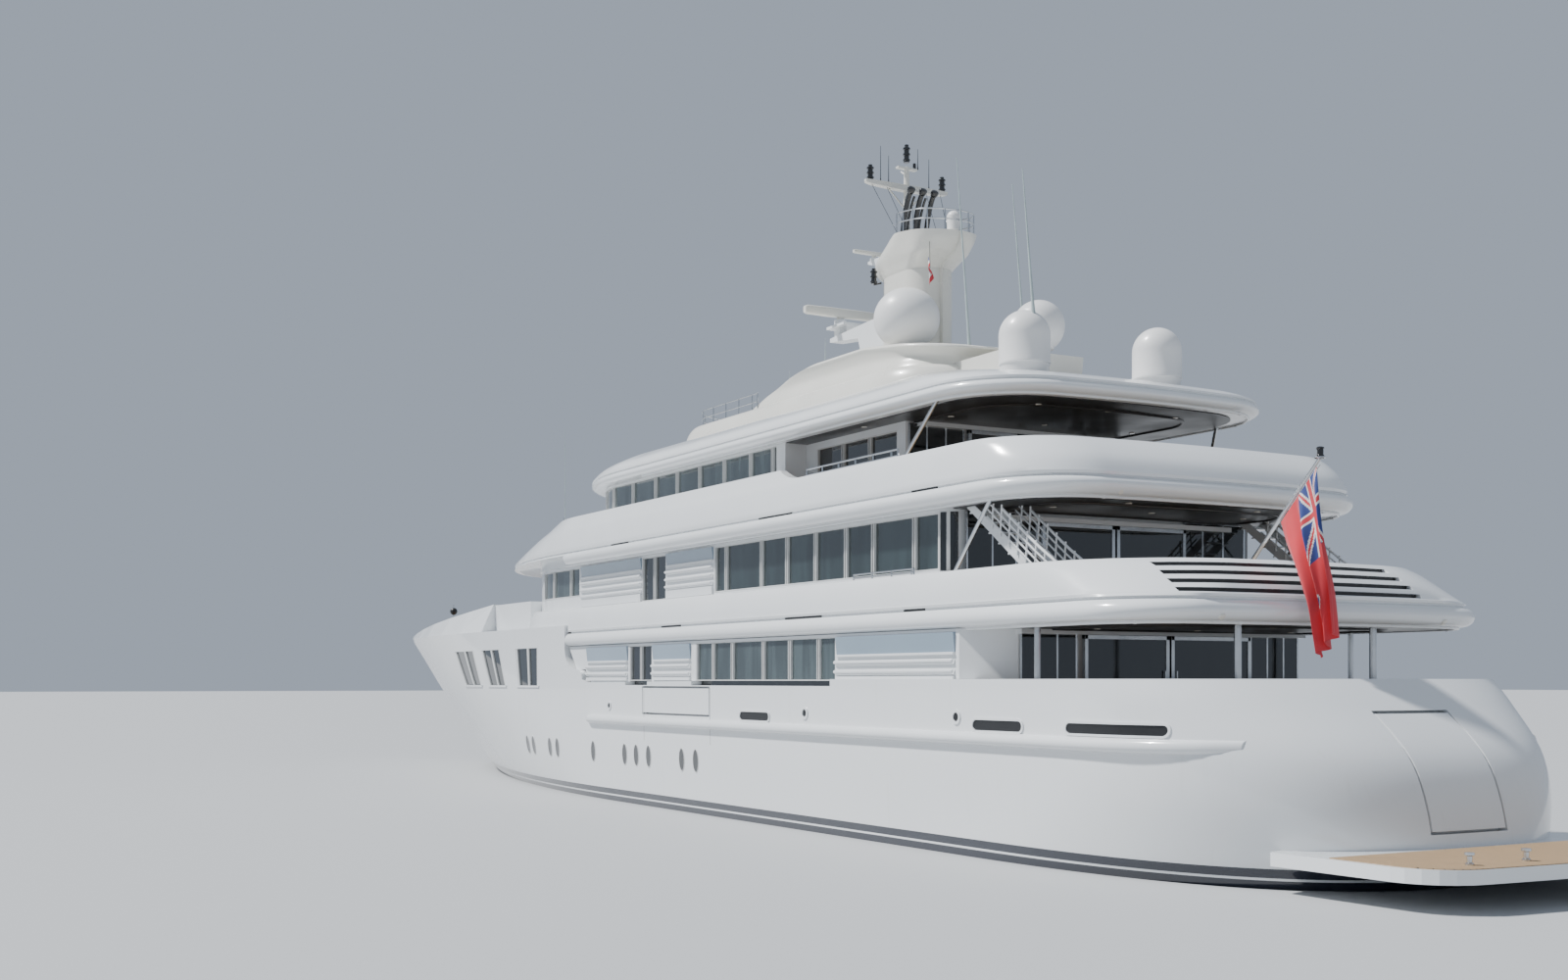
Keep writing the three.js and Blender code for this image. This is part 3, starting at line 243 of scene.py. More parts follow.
class Shape:
    """Collects closed forms, in millimetres, into one mesh."""

    def __init__(self):
        self.points = []
        self.faces = []

    def add(self, points, faces):
        start = len(self.points)
        self.points.extend(tuple(p) for p in points)
        self.faces.extend(tuple(i + start for i in face) for face in faces)
        return self

    def box(self, x0, x1, y0, y1, z0, z1):
        corners = [(x, y, z) for z in (z0, z1) for x, y in ((x0, y0), (x1, y0), (x1, y1), (x0, y1))]
        return self.add(corners, [(3, 2, 1, 0), (4, 5, 6, 7),
                                  (0, 1, 5, 4), (1, 2, 6, 5), (2, 3, 7, 6), (3, 0, 4, 7)])

    def side_box(self, side, x0, x1, y0, y1, z0, z1):
        """A box given for the port side, on the side that is asked for: 1 or -1."""
        return self.box(x0, x1, *sorted((side * y0, side * y1)), z0, z1)

    def rings(self, rings, closed=False, caps=True):
        """Joins rings of equal length; each is counter-clockwise seen from the next."""
        count = len(rings[0])
        points = [p for ring in rings for p in ring]
        faces = []
        for level in range(len(rings) if closed else len(rings) - 1):
            a = level * count
            b = ((level + 1) % len(rings)) * count
            for i in range(count):
                j = (i + 1) % count
                faces.append((a + i, a + j, b + j, b + i))
        if caps and not closed:
            faces.append(tuple(range(count - 1, -1, -1)))
            faces.append(tuple((len(rings) - 1) * count + i for i in range(count)))
        return self.add(points, faces)

    def tube(self, path, radius, sides=10, closed=False):
        """A round bar along a path; radius is a number or one per point."""
        path = [Vector(p) for p in path]
        radii = radius if isinstance(radius, (list, tuple)) else [radius] * len(path)
        rings = []
        side = None
        for i, point in enumerate(path):
            before = path[i - 1] if i or closed else point
            after = path[(i + 1) % len(path)] if i + 1 < len(path) or closed else point
            along = (after - before).normalized()
            if side is None:
                side = along.orthogonal().normalized()
            side = (side - along * side.dot(along)).normalized()
            up = along.cross(side)
            rings.append([point + (side * math.cos(t) + up * math.sin(t)) * radii[i]
                          for t in angles(sides)])
        return self.rings(rings, closed)

    def rod(self, start, end, radius, sides=12):
        return self.tube([start, end], radius, sides)

    def spun(self, profile, centre, steps=40, axis=(0, 0, 1)):
        """A turned form: profile is (radius, height) from the foot up, both ends on the axis."""
        turn = Vector((0, 0, 1)).rotation_difference(Vector(axis))
        rings = [[Vector(centre) + turn @ Vector((r * math.cos(t), r * math.sin(t), h))
                  for t in angles(steps)]
                 for r, h in ((max(r, 0.01), h) for r, h in profile)]
        return self.rings(rings)

    def slab(self, outline, y0, y1):
        """An outline of (x, z) points made into a plate across the ship."""
        front = [(x, y0, z) for x, z in outline]
        back = [(x, y1, z) for x, z in outline]
        return self.rings([front, back][:: 1 if area(outline) > 0 else -1][::-1])

    def both(self):
        """Adds the mirror image across the centreline."""
        points = [(x, -y, z) for x, y, z in self.points]
        return self.add(points, [tuple(reversed(face)) for face in self.faces])

    def make(self, name, look, *replaces, **options):
        return settle(self.loose(name), look, *replaces, **options)

    def loose(self, name):
        mesh = bpy.data.meshes.new(name)
        mesh.from_pydata([(x * MM, y * MM, z * MM) for x, y, z in self.points], [], self.faces)
        mesh.validate()
        return placed(name, mesh)


SIDES = ((1, "port"), (-1, "starboard"))


def area(outline):
    following = outline[1:] + outline[:1]
    return sum(a[0] * b[1] - b[0] * a[1] for a, b in zip(outline, following)) / 2


def angles(count):
    """Equal steps of a full turn."""
    return [k * math.tau / count for k in range(count)]


def between(a, b, t):
    """What lies at share t of the way from a to b."""
    return tuple(p + (q - p) * t for p, q in zip(a, b))


# Slots of the looks that aren't white paint
LOOK_SLOTS = {
    cream_paint: "cream_paint", steel: "polished_steel", aerial_paint: "polished_steel",
    black_paint: "black_paint", gloss_black: "black_paint",
    dark_glass: "dark_glass", green_glass: "dark_glass", pale_glass: "dark_glass",
}


def settle(obj, look, *replaces, body="ship", slot=None, smooth=SMOOTH, bevel=0.0):
    if look:
        obj.data.materials.clear()
        obj.data.materials.append(look)
        slot = slot or LOOK_SLOTS.get(look, "white_paint")
    obj.data.shade_smooth()
    obj.data.set_sharp_from_angle(angle=math.radians(smooth))
    if bevel:
        edge = obj.modifiers.new("edge", "BEVEL")
        edge.width = bevel * MM
        edge.segments = 2
        edge.limit_method = "ANGLE"
        edge.harden_normals = True
    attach(obj, body)
    if replaces:
        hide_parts(*replaces)
    return obj


def carve(target, tools, operation="DIFFERENCE"):
    """Cuts target with each tool in turn, or keeps what they have in common, and drops the tools."""
    target, *tools = (form.loose("tool") if isinstance(form, Shape) else form for form in (target, *tools))
    for tool in tools:
        modifier = target.modifiers.new("carve", "BOOLEAN")
        modifier.operation = operation
        modifier.object = tool
        modifier.solver = "MANIFOLD"
        graph = bpy.context.evaluated_depsgraph_get()
        mesh = bpy.data.meshes.new_from_object(target.evaluated_get(graph))
        target.modifiers.clear()
        target.data = mesh
        bpy.data.objects.remove(tool)
    return target


def copy_of(obj, name, by=(0, 0, 0)):
    """A loose copy of a mesh object, moved by some millimetres."""
    twin = placed(name, obj.data.copy())
    for vertex in twin.data.vertices:
        vertex.co += Vector(by) * MM
    return twin


# Plan curves, the same as the frame's but finer
STERN_BOW = 12


def deck_half(nose, start, half, aft, corner, front=44, turn=14):
    """Port half of a deck plan: elliptic front, straight side, rounded corner, slightly bowed stern."""
    points = []
    for i in range(front + 1):
        t = i / front * math.pi / 2
        points.append((start + (nose - start) * math.cos(t), half * math.sin(t)))
    side = 24
    for i in range(1, side):
        points.append((start + (aft + corner - start) * i / side, half))
    for i in range(turn + 1):
        t = i / turn * math.pi / 2
        points.append((aft + corner * (1 - math.sin(t)), half - corner * (1 - math.cos(t))))
    for i in range(1, 5):
        points.append((aft - STERN_BOW * math.sin(i / 4 * math.pi / 2), (half - corner) * (1 - i / 4)))
    return points


def both_sides(half, height):
    """The whole ring of a port half that starts and ends on the centreline."""
    at = height if callable(height) else lambda x: height
    ring = [(x, y, at(x)) for x, y in half]
    return ring + [(x, -y, at(x)) for x, y in reversed(half[1:-1])]


def smooth_rows(rows, steps, creases=()):
    """Rows of numbers with a smooth curve run through them, broken at the creases."""
    cuts = [0, *sorted(creases), len(rows) - 1]
    fine = [rows[0]]
    for start, end in zip(cuts, cuts[1:]):
        part = rows[start:end + 1]
        for i in range(len(part) - 1):
            a = part[max(i - 1, 0)]
            b, c = part[i], part[i + 1]
            d = part[min(i + 2, len(part) - 1)]
            for k in range(1, steps + 1):
                t = k / steps
                fine.append(tuple(
                    0.5 * (2 * q + (r - p) * t + (2 * p - 5 * q + 4 * r - s) * t * t
                           + (3 * q - p - 3 * r + s) * t ** 3)
                    for p, q, r, s in zip(a, b, c, d)))
    return fine


def deck_form(rows, steps, creases):
    """A closed loft of deck plans; a row is height, nose, start, half breadth, aft end, corner radius."""
    return Shape().rings([both_sides(deck_half(*plan), z) for z, *plan in smooth_rows(rows, steps, creases)])


def swept_form(rows, steps, creases, start, slope):
    """A loft of deck plans that fall away aft of a start, each by the share that ends its row."""
    rings = []
    for z, *plan, share in smooth_rows(rows, steps, creases):
        rings.append(both_sides(deck_half(*plan),
                                lambda x, z=z, share=share: z - share * max(0.0, start - x) * slope))
    return Shape().rings(rings)


def row_at(rows, z):
    """A table's row at a height, straight between the two listed ones."""
    for low, high in zip(rows, rows[1:]):
        if z <= high[0]:
            return between(low, high, (z - low[0]) / (high[0] - low[0]))
    return rows[-1]


def prism(half, z0, z1):
    return Shape().rings([both_sides(half, z0), both_sides(half, z1)])


# Hull, on the frame's waterlines
MAIN_DECK_Z = 300
HULL_RAIL_Z = 405
CAP_Z = 597
HULL_LINES = [
    (-350, 30, 200, 1750, 1.6, -200, -1500, 2.0),
    (-332, 210, 50, 1900, 1.7, -500, -1850, 2.0),
    (-290, 350, 0, 2020, 1.7, -700, -2150, 2.0),
    (-220, 452, -50, 2180, 1.75, -1000, -2520, 2.1),
    (-120, 512, -150, 2340, 1.85, -1500, -2780, 2.3),
    (-50, 530, -250, 2430, 1.95, -1900, -3060, 2.6),
    (0, 536, -300, 2490, 2.0, -2150, -3165, 2.8),
    (42, 539, -150, 2575, 2.05, -2250, -3172, 2.9),
    (160, 544, 100, 2790, 2.2, -2450, -3150, 3.0),
    (257, 546.5, 300, 2965, 2.3, -2540, -3105, 3.0),
    (350, 547, 450, 3120, 2.5, -2600, -3005, 3.0),
    (HULL_RAIL_Z, 547, 550, 3205, 2.6, -2600, -2940, 3.0),
    (500, 547, 700, 3340, 2.8, -2600, -2938, 3.0),
    (CAP_Z, 547, 850, 3500, 3.0, -2600, -2936, 3.0),
]
SHEER_START = 2000
SHEER_RISE = 52


def waterline(line, inset=0.0, bow_steps=64, stern_steps=48):
    _, half, bow_start, stem, bow_power, stern_start, stern, stern_power = line
    points = []
    for i in range(bow_steps + 1):
        s = math.cos(i / bow_steps * math.pi / 2)
        points.append((bow_start + (stem - inset * 2 - bow_start) * s, (half - inset) * (1 - s ** bow_power)))
    for i in range(stern_steps + 1):
        t = i / stern_steps * math.pi / 2
        reach = (stern + inset - stern_start) * math.sin(t) ** (2 / stern_power)
        points.append((stern_start + reach, (half - inset) * abs(math.cos(t)) ** (2 / stern_power)))
    points[0] = (points[0][0], 0.0)
    points[-1] = (points[-1][0], 0.0)
    return points


def sheer(x):
    return CAP_Z + SHEER_RISE * (max(0.0, x - SHEER_START) / 1500) ** 2


def hull_side(x, z):
    """Half breadth of the hull at a station and height."""
    points = waterline(row_at(HULL_LINES, z))
    for (x0, y0), (x1, y1) in zip(points, points[1:]):
        if x1 <= x <= x0 and x0 > x1:
            return y0 + (y1 - y0) * (x - x0) / (x1 - x0)
    return 0.0


MAIN_WINDOWS = [(-483, -309, 387, 514), (-1628, -805, 387, 514)]
BOW_WINDOWS = [((1170, 1430), (1243, 1521)), ((848, 1053), (915, 1136)), ((490, 698), (490, 730))]
BOW_WINDOW_FOOT = 383
BOW_WINDOW_HEAD = 522
BOW_WINDOW_DEPTH = 8
STEP_X = 226
UPPER_DECK_Z = 560
BRIDGE_DECK_Z = 850
FOREDECK_Z = 560
FOREDECK_TOP = FOREDECK_Z + 1.6
TRANSOM_DOOR = dict(y=105, z0=110, z1=335)
SHELL_DOOR = dict(x0=-923, x1=-451, z0=300, z1=378)
DOOR_GAP = 6
DOOR_THICK = 12
DOOR_DEPTH_GAP = 10


def arc(cx, cz, rx, rz, start, end, steps=8):
    """Points of an elliptic arc in the (x, z) plane, angles in degrees."""
    return [(cx + rx * math.cos(math.radians(start + (end - start) * i / steps)),
             cz + rz * math.sin(math.radians(start + (end - start) * i / steps))) for i in range(steps + 1)]


def cut_box(x0, x1, y0, y1, z0, z1):
    return Shape().box(x0, x1, y0, y1, z0, z1)


# Thin skins on the hull: panes, port lights, fairleads
def skin_on(form, outlines, outward, inward, side, holes=()):
    """The part of some (x, z) outlines that lies between two offsets of the hull's own side."""
    reach = sorted((side * 150, side * 700))
    shape = Shape()
    for outline in outlines:
        shape.slab(outline, *reach)
    skin = shape.loose("skin")
    if holes:
        cutter = Shape()
        for hole in holes:
            cutter.slab(hole, reach[0] - 10, reach[1] + 10)
        carve(skin, [cutter])
    carve(skin, [copy_of(form, "cut", (0, side * outward, 0))], "INTERSECT")
    return carve(skin, [copy_of(form, "cut", (0, -side * inward, 0))])


def merged(objects, name):
    """One mesh object made of several."""
    shape = Shape()
    for obj in objects:
        points = [tuple(c / MM for c in v.co) for v in obj.data.vertices]
        shape.add(points, [tuple(p.vertices) for p in obj.data.polygons])
        bpy.data.objects.remove(obj)
    return shape.loose(name)


def oval(x, z, rx, rz, steps=28):
    return arc(x, z, rx, rz, 0, 360 - 360 / steps, steps - 1)


def pill(x0, x1, z0, z1, steps=8):
    """A rounded slot between two stations and heights."""
    r = (z1 - z0) / 2
    return arc(x1 - r, z0 + r, r, r, -90, 90, steps) + arc(x0 + r, z0 + r, r, r, 90, 270, steps)


PORT_LIGHTS = [642, 571, 384, 306, -33, -300, -393, -489, -734, -831]
PORT_LIGHT = (160, 17, 34)
PORT_RIM = (160, 19, 36)
FAIRLEADS = [(-180, 318, 15), (-1498, 315, 17), (-2199, 318, 17)]
SLOTS = [(-1299, -1126, 290, 313), (-2447, -2265, 290, 313), (-2864, -2598, 292, 313)]
HAWSE = (2950, 518, 16, 13)
HAWSE_RIM = (2950, 518, 21, 18)
LEAD_BORE = 0.62
SIDE_SEAMS = [(-459, 211, 372), (-933, 211, 380)]


def raked(foot, head, x0=0.0, x1=1.0):
    """A bow window's outline, or the part of it between two shares of its width."""
    width = foot[1] - foot[0]
    (a, b), (c, d) = ((foot[0] + width * x, head[0] + (head[1] - head[0]) * x) for x in (x0, x1))
    return [(a, BOW_WINDOW_FOOT), (c, BOW_WINDOW_FOOT), (d, BOW_WINDOW_HEAD), (b, BOW_WINDOW_HEAD)]


def make_hull_details(form):
    lights = [oval(x, *PORT_LIGHT) for x in PORT_LIGHTS]
    rims = [oval(x, *PORT_RIM) for x in PORT_LIGHTS]
    # The bores of the fairleads, the hawse hole and the slots are black skins on the hull: painted shade
    # inside the openings
    holes = [oval(x, z, r * LEAD_BORE, r * LEAD_BORE) for x, z, r in FAIRLEADS] + [oval(*HAWSE)]
    holes += [pill(*ends) for ends in SLOTS]
    edges = [oval(x, z, r, r) for x, z, r in FAIRLEADS] + [oval(*HAWSE_RIM)]
    edges += [pill(x0 - 5, x1 + 5, z0 - 5, z1 + 5) for x0, x1, z0, z1 in SLOTS]
    lines = [[(x, z0), (x + 1.4, z0), (x + 1.4, z1), (x, z1)] for x, z0, z1 in SIDE_SEAMS]
    panes, frames, dark, lips, seams = [], [], [], [], []
    for side in (1, -1):
        panes.append(skin_on(form, lights, 0.4, 2, side))
        frames.append(skin_on(form, rims, 1.2, 2, side, lights))
        dark.append(skin_on(form, holes, 0.4, 2, side))
        lips.append(skin_on(form, edges, 3, 2, side, holes))
        seams.append(skin_on(form, lines, 0.15, 1, side))
        for foot, head in BOW_WINDOWS:
            pane = [raked(foot, head)]
            panes.append(skin_on(form, pane, -BOW_WINDOW_DEPTH + 2, BOW_WINDOW_DEPTH + 2, side))
            bars = [raked(foot, head, *shares) for shares in ((0.0, 0.06), (0.42, 0.50), (0.94, 1.0))]
            frames.append(skin_on(form, bars, -1, BOW_WINDOW_DEPTH + 1, side))
            x0, x1, z0, z1 = foot[0] - 14, foot[1] + 14, BOW_WINDOW_FOOT - 7, BOW_WINDOW_FOOT
            lips.append(skin_on(form, [[(x0, z0), (x1, z0), (x1, z1), (x0, z1)]], 4, 2, side))
    for parts, name, look in ((panes, "hull_panes", dark_glass), (frames, "hull_frames", frame_paint),
                              (dark, "hull_hole_shade", black_paint), (lips, "hull_lips", white_paint),
                              (seams, "hull_seams", black_paint)):
        settle(merged(parts, name), look)


def make_hull():
    rows = smooth_rows(HULL_LINES, 5, (6, 11))
    rings = [both_sides(waterline(row), sheer if row is rows[-1] else row[0]) for row in rows]
    hull = Shape().rings(rings).loose("hull_shell")
    rail = [(-4000, HULL_RAIL_Z), (-1600, HULL_RAIL_Z), (-60, 396), (30, 396)]
    rail += arc(30, 412, 36, 16, -90, -20, 5) + arc(108, 412, 44, 28, 160, 90, 6)
    rail += arc(140, 526, 86, 86, -90, -4, 10)
    rail += [(STEP_X, 540), (STEP_X, 900), (-4000, 900)]
    well = [(-2240, 0), (-2240, 531)]
    well += [p for p in waterline(row_at(HULL_LINES, HULL_RAIL_Z), 16) if p[0] < -2240]
    fore = [p for p in waterline(HULL_LINES[-1], 20) if p[0] > 1160]
    fore += [(1160, fore[-1][1]), (1160, 0)]
    tools = [
        Shape().slab(rail, -700, 700),
        prism(well, MAIN_DECK_Z, 500),
        cut_box(-2241, STEP_X - 40, -506, 506, MAIN_DECK_Z, 590),
        prism(fore, 560, 760),
        *(cut_box(x0, x1, -700, 700, z0, HULL_RAIL_Z + 1) for x0, x1, z0, _ in MAIN_WINDOWS),
    ]
    carve(hull, tools)
    form = copy_of(hull, "form")
    for foot, head in BOW_WINDOWS:
        for side in (1, -1):
            tool = Shape().slab(raked(foot, head), *sorted((side * 300, side * 700)))
            inside = copy_of(form, "cut", (0, -side * BOW_WINDOW_DEPTH, 0))
            carve(hull, [carve(tool, [inside])])
    make_doors(hull, form)
    make_hull_details(form)
    bpy.data.objects.remove(form)
    settle(hull, hull_paint, "hull", smooth=HULL_SMOOTH)


def trims(name):
    """The transom door's upper inner corner is cut back so that it can swing."""
    return [cut_box(-3014.5, -2900, -200, 200, 300, 400)] if name == "transom_door" else []


def make_doors(hull, form):
    """The transom and shell doors take their outer faces from the hull and leave a recess behind them."""
    y, z0, z1 = TRANSOM_DOOR["y"], TRANSOM_DOOR["z0"], TRANSOM_DOOR["z1"]
    x0, x1 = SHELL_DOOR["x0"], SHELL_DOOR["x1"]
    s0, s1 = SHELL_DOOR["z0"], SHELL_DOOR["z1"]
    doors = [("transom_door", (1, 0, 0), lambda g: (-3400, -2900, -y - g, y + g, z0 - g, z1 + g))]
    for side, name in SIDES:
        reach = sorted((side * 400, side * 700))
        doors.append((f"shell_door_{name}", (0, -side, 0),
                      lambda g, reach=reach: (x0 - g, x1 + g, *reach, s0 - g, s1 + g)))
    for name, inward, bounds in doors:
        skin = carve(cut_box(*bounds(0)), [copy_of(form, "cut")], "INTERSECT")
        carve(skin, [copy_of(form, "cut", [c * DOOR_THICK for c in inward]), *trims(name)])
        behind = copy_of(form, "cut", [c * (DOOR_THICK + DOOR_DEPTH_GAP) for c in inward])
        recess = carve(cut_box(*bounds(DOOR_GAP)), [behind])
        carve(hull, [recess])
        skin.name = name + "_skin"
        settle(skin, hull_paint, name, body=name, smooth=HULL_SMOOTH)


make_hull()


# Rub rails: a fat roll along each side, faired round at the front
RUB = dict(z=271, height=15, depth=19, front=8, aft=-2985)


def make_rub_rails():
    z, height = RUB["z"], RUB["height"]
    for side, name in SIDES:
        rings = []
        for i in range(121):
            x = RUB["front"] + (RUB["aft"] - RUB["front"]) * (i / 120) ** 1.25
            swell = min(1.0, math.sqrt(max(0.0, 1 - (1 - min(1.0, (RUB["front"] - x) / 40)) ** 2)) + 0.05)
            inner = min(hull_side(x, z - height), hull_side(x, z + height)) - 4
            ring = []
            for k in range(17):
                t = math.pi * (k / 16 - 0.5)
                out = (RUB["depth"] - 3) * swell * math.cos(t)
                ring.append((x, side * (inner + 6 + out), z + height * swell * math.sin(t)))
            ring += [(x, side * inner, z + height * swell), (x, side * inner, z - height * swell)]
            rings.append(ring if side == -1 else ring[::-1])
        Shape().rings(rings).make(f"rub_roll_{name}", white_paint, f"rub_rail_{name}")


make_rub_rails()


# Deck bands: roll, groove and leaning bulwark
UPPER_BAND = [
    (522, 640, 600, 515, -2797, 172),
    (525, 650, 610, 534, -2816, 180),
    (533, 655, 615, 544, -2826, 184),
    (546, 660, 620, 548, -2831, 186),
    (558, 660, 620, 544, -2827, 186),
    (567, 658, 618, 536, -2819, 186),
    (568, 656, 616, 531, -2814, 188),
    (573, 656, 616, 531, -2814, 188),
    (574, 656, 616, 536, -2818, 190),
    (580, 655, 615, 538, -2820, 215),
    (581, 655, 615, 536, -2818, 215),
    (610, 650, 612, 533, -2805, 285),
    (640, 640, 604, 526, -2776, 320),
    (656, 633, 599, 518, -2748, 325),
    (659, 630, 597, 514, -2743, 325),
]
BRIDGE_BAND = [
    (812, 1440, 300, 515, -2452, 190),
    (816, 1470, 300, 534, -2474, 200),
    (826, 1500, 300, 544, -2486, 208),
    (838, 1520, 300, 548, -2491, 212),
    (848, 1535, 300, 544, -2487, 210),
    (853, 1545, 300, 537, -2480, 206),
    (854, 1546, 300, 531, -2474, 203),
    (858, 1550, 300, 531, -2474, 203),
    (859, 1553, 300, 536, -2478, 206),
    (866, 1557, 300, 538, -2480, 208),
    (900, 1380, 280, 534, -2462, 206),
    (935, 1180, 250, 527, -2424, 200),
    (952, 1070, 230, 521, -2396, 190),
    (985, 880, 200, 510, -2370, 184),
]
ROOF = [
    (1082, 560, -100, 462, -2212, 215),
    (1086, 590, -100, 480, -2232, 225),
    (1096, 625, -100, 490, -2243, 232),
    (1106, 645, -100, 487, -2240, 230),
    (1110, 652, -100, 483, -2236, 228),
    (1111, 652, -100, 478, -2232, 226),
    (1114, 656, -100, 478, -2232, 226),
    (1115, 660, -100, 482, -2235, 228),
    (1120, 655, -100, 482, -2235, 228),
    (1140, 560, -110, 472, -2180, 220),
    (1160, 440, -130, 440, -2080, 210),
    (1180, 300, -180, 390, -1980, 200),
    (1196, 120, -260, 300, -1900, 180),
]
# Plans of the wells aft: nose, start, half breadth, aft end, corner radius
UPPER_WELL = (-2056, -2057, 496, -2722, 305)
BRIDGE_WELL = (-1159, -1160, 488, -2376, 170)
LOUVRE = dict(z0=583, pitch=19, count=4, height=9, port=(415, 402), starboard=(265, 215), depth=16)


def inset_plan(plan, inset):
    nose, start, half, aft, corner = plan
    return deck_half(nose - inset, start, half - inset, aft + inset, corner - inset)


def make_upper_band():
    band = deck_form(UPPER_BAND, 3, (5, 6, 7, 8, 9, 10)).loose("upper_band")
    slots = []
    shades = []
    height, depth, last = LOUVRE["height"], LOUVRE["depth"], LOUVRE["count"] - 1
    for i in range(LOUVRE["count"]):
        z = LOUVRE["z0"] + i * LOUVRE["pitch"]
        port, starboard = (a + (b - a) * i / last for a, b in (LOUVRE["port"], LOUVRE["starboard"]))
        plan = row_at(UPPER_BAND, z + height / 2)[1:]
        core = prism(inset_plan(plan, depth), z - 5, z + 14)
        slots.append(carve(cut_box(-2900, -2400, -starboard, port, z, z + height), [core]))
        # Black strips deep in each slot: painted shade inside the louvre openings
        shade = prism(inset_plan(plan, depth - 4), z + 0.5, z + height - 0.5)
        shade = carve(shade, [prism(inset_plan(plan, depth + 1), z - 5, z + 14)])
        reach = cut_box(-2900, -2400, 1 - starboard, port - 1, z - 1, z + 10)
        shades.append(carve(shade, [reach], "INTERSECT"))
    well = prism(deck_half(*UPPER_WELL), UPPER_DECK_Z, 700)
    carve(band, [cut_box(STEP_X - 3, 900, -700, 700, 500, CAP_Z + 0.3),
                 cut_box(-2058, 560, -462, 462, UPPER_DECK_Z, 700), well, *slots])
    settle(band, white_paint, "upper_deck")
    settle(merged(shades, "louvre_painted_shade"), black_paint)


def make_bridge_band():
    band = deck_form(BRIDGE_BAND, 3, (5, 6, 7, 8, 9)).loose("bridge_band")
    rail = [(-3000, 952), (-1440, 952), *arc(-1420, 1150, 230, 198, -90, -56, 6), (-1230, 985), (-1230, 1100)]
    rail.append((-3000, 1100))
    over_house = prism(deck_half(1046, 480, 496, -2080, 40), 782, 856)
    brow = carve(cut_box(238, 1700, -700, 700, 790, 846), [over_house])
    well = prism(deck_half(*BRIDGE_WELL), BRIDGE_DECK_Z, 1100)
    stairs = [Shape().side_box(s, -2280, -2090, 386, 474, 800, 870) for s in (1, -1)]
    carve(band, [Shape().slab(rail, -700, 700),
                 cut_box(-1160, 420, -400, 400, BRIDGE_DECK_Z, 1100), well, brow, *stairs])
    settle(band, white_paint, "bridge_deck")


make_upper_band()
make_bridge_band()
deck_form(ROOF, 3, (4, 5, 6, 7, 8)).make("roof_shell", white_paint, "roof")


# Mast: coachroof and fairing, tower and dish
TOWER_SLOPE_X = -1203
TOWER_SLOPE = 0.123


def make_mast():
    fairing = [
        (1196.3, -40, -260, 288, -1640, 200, 0),
        (1232, -48, -270, 280, -1632, 190, 0),
        (1256, -64, -290, 268, -1618, 180, 0),
        (1263, -90, -310, 256, -1612, 176, 0),
        (1268, -505, -645, 244, -1608, 174, 0.05),
        (1278, -526, -666, 240, -1606, 172, 0.2),
        (1300, -576, -716, 230, -1602, 170, 0.5),
        (1316, -645, -785, 228, -1604, 170, 0.7),
        (1335, -736, -876, 234, -1620, 176, 0.85),
        (1345, -830, -970, 240, -1638, 186, 1),
        (1352, -886, -1026, 236, -1634, 184, 1),
        (1356, -960, -1100, 220, -1600, 170, 1),
    ]
    sweep = swept_form(fairing, 3, (3, 4, 9), -1290, 0.11)
    sweep.make("mast_sweep", cream_paint, "mast_fairing")
    tower = [
        (1320, -1086, -1172, 75, -1334, 73, 0),
        (1594, -1086, -1172, 75, -1334, 73, 0),
        (1600, -1084, -1172, 75, -1335, 73, 0),
        (1608, -1065, -1175, 78, -1345, 76, 0),
        (1625, -1038, -1185, 83, -1370, 81, 0.2),
        (1645, -1032, -1200, 90, -1400, 88, 0.45),
        (1660, -1040, -1220, 94, -1412, 92, 0.6),
        (1690, -1106, -1260, 100, -1430, 99, 0.9),
        (1713, -1161, -1290, 106, -1437, 105, 1),
    ]
    swept_form(tower, 4, (2,), TOWER_SLOPE_X, TOWER_SLOPE).make("mast_column", cream_paint, "mast_tower")


make_mast()


def carry_over(look, *nodes):
    """Gives CAD nodes that keep their shape a finish and soft shading."""
    for node in nodes:
        obj = bpy.data.objects[node]
        obj.data.materials.clear()
        obj.data.materials.append(look)
        obj.data.shade_smooth()
        obj.data.set_sharp_from_angle(angle=math.radians(30))


def both_of(*stems):
    """The names of the port and the starboard node of each stem."""
    return [f"{stem}_{side}" for stem in stems for side in ("port", "starboard")]


carry_over(white_paint, "main_house", "upper_house", "bridge_house", "foredeck_bulwark", "swim_platform",
           *both_of("rudder", "fin"), "radar_main_pylon", "radar_small_pylon",
           "radar_main_scanner", "radar_small_scanner")
carry_over(cream_paint, "roof_locker", "pole_mast")
carry_over(dark_glass, "main_glass", "upper_glass", "bridge_glass")
carry_over(steel, "ensign_staff", *both_of("post_aft", "post_side", "stanchion_upper", "stanchion_bridge"))
carry_over(bronze, *both_of("propeller", "shaft"))


# House walls: panes, mullions, ribs and panels follow each wall's plan
def strip_on(shape, plan, x0, x1, z0, z1, inner, outer):
    """A strip along the port wall between two stations; inner and outer are distances out from the wall.

    z0, z1, inner and outer may each be a pair, for the lower and upper edge of a leaning strip."""
    lean = [value if isinstance(value, tuple) else (value, value) for value in (inner, outer)]
    rings = []
    for x, y, nx, ny in along_plan(plan, x0, x1):
        section = [(lean[0][0], z0), (lean[0][1], z1), (lean[1][1], z1), (lean[1][0], z0)]
        rings.append([(x + nx * d, y + ny * d, z) for d, z in section])
    return shape.rings(rings)


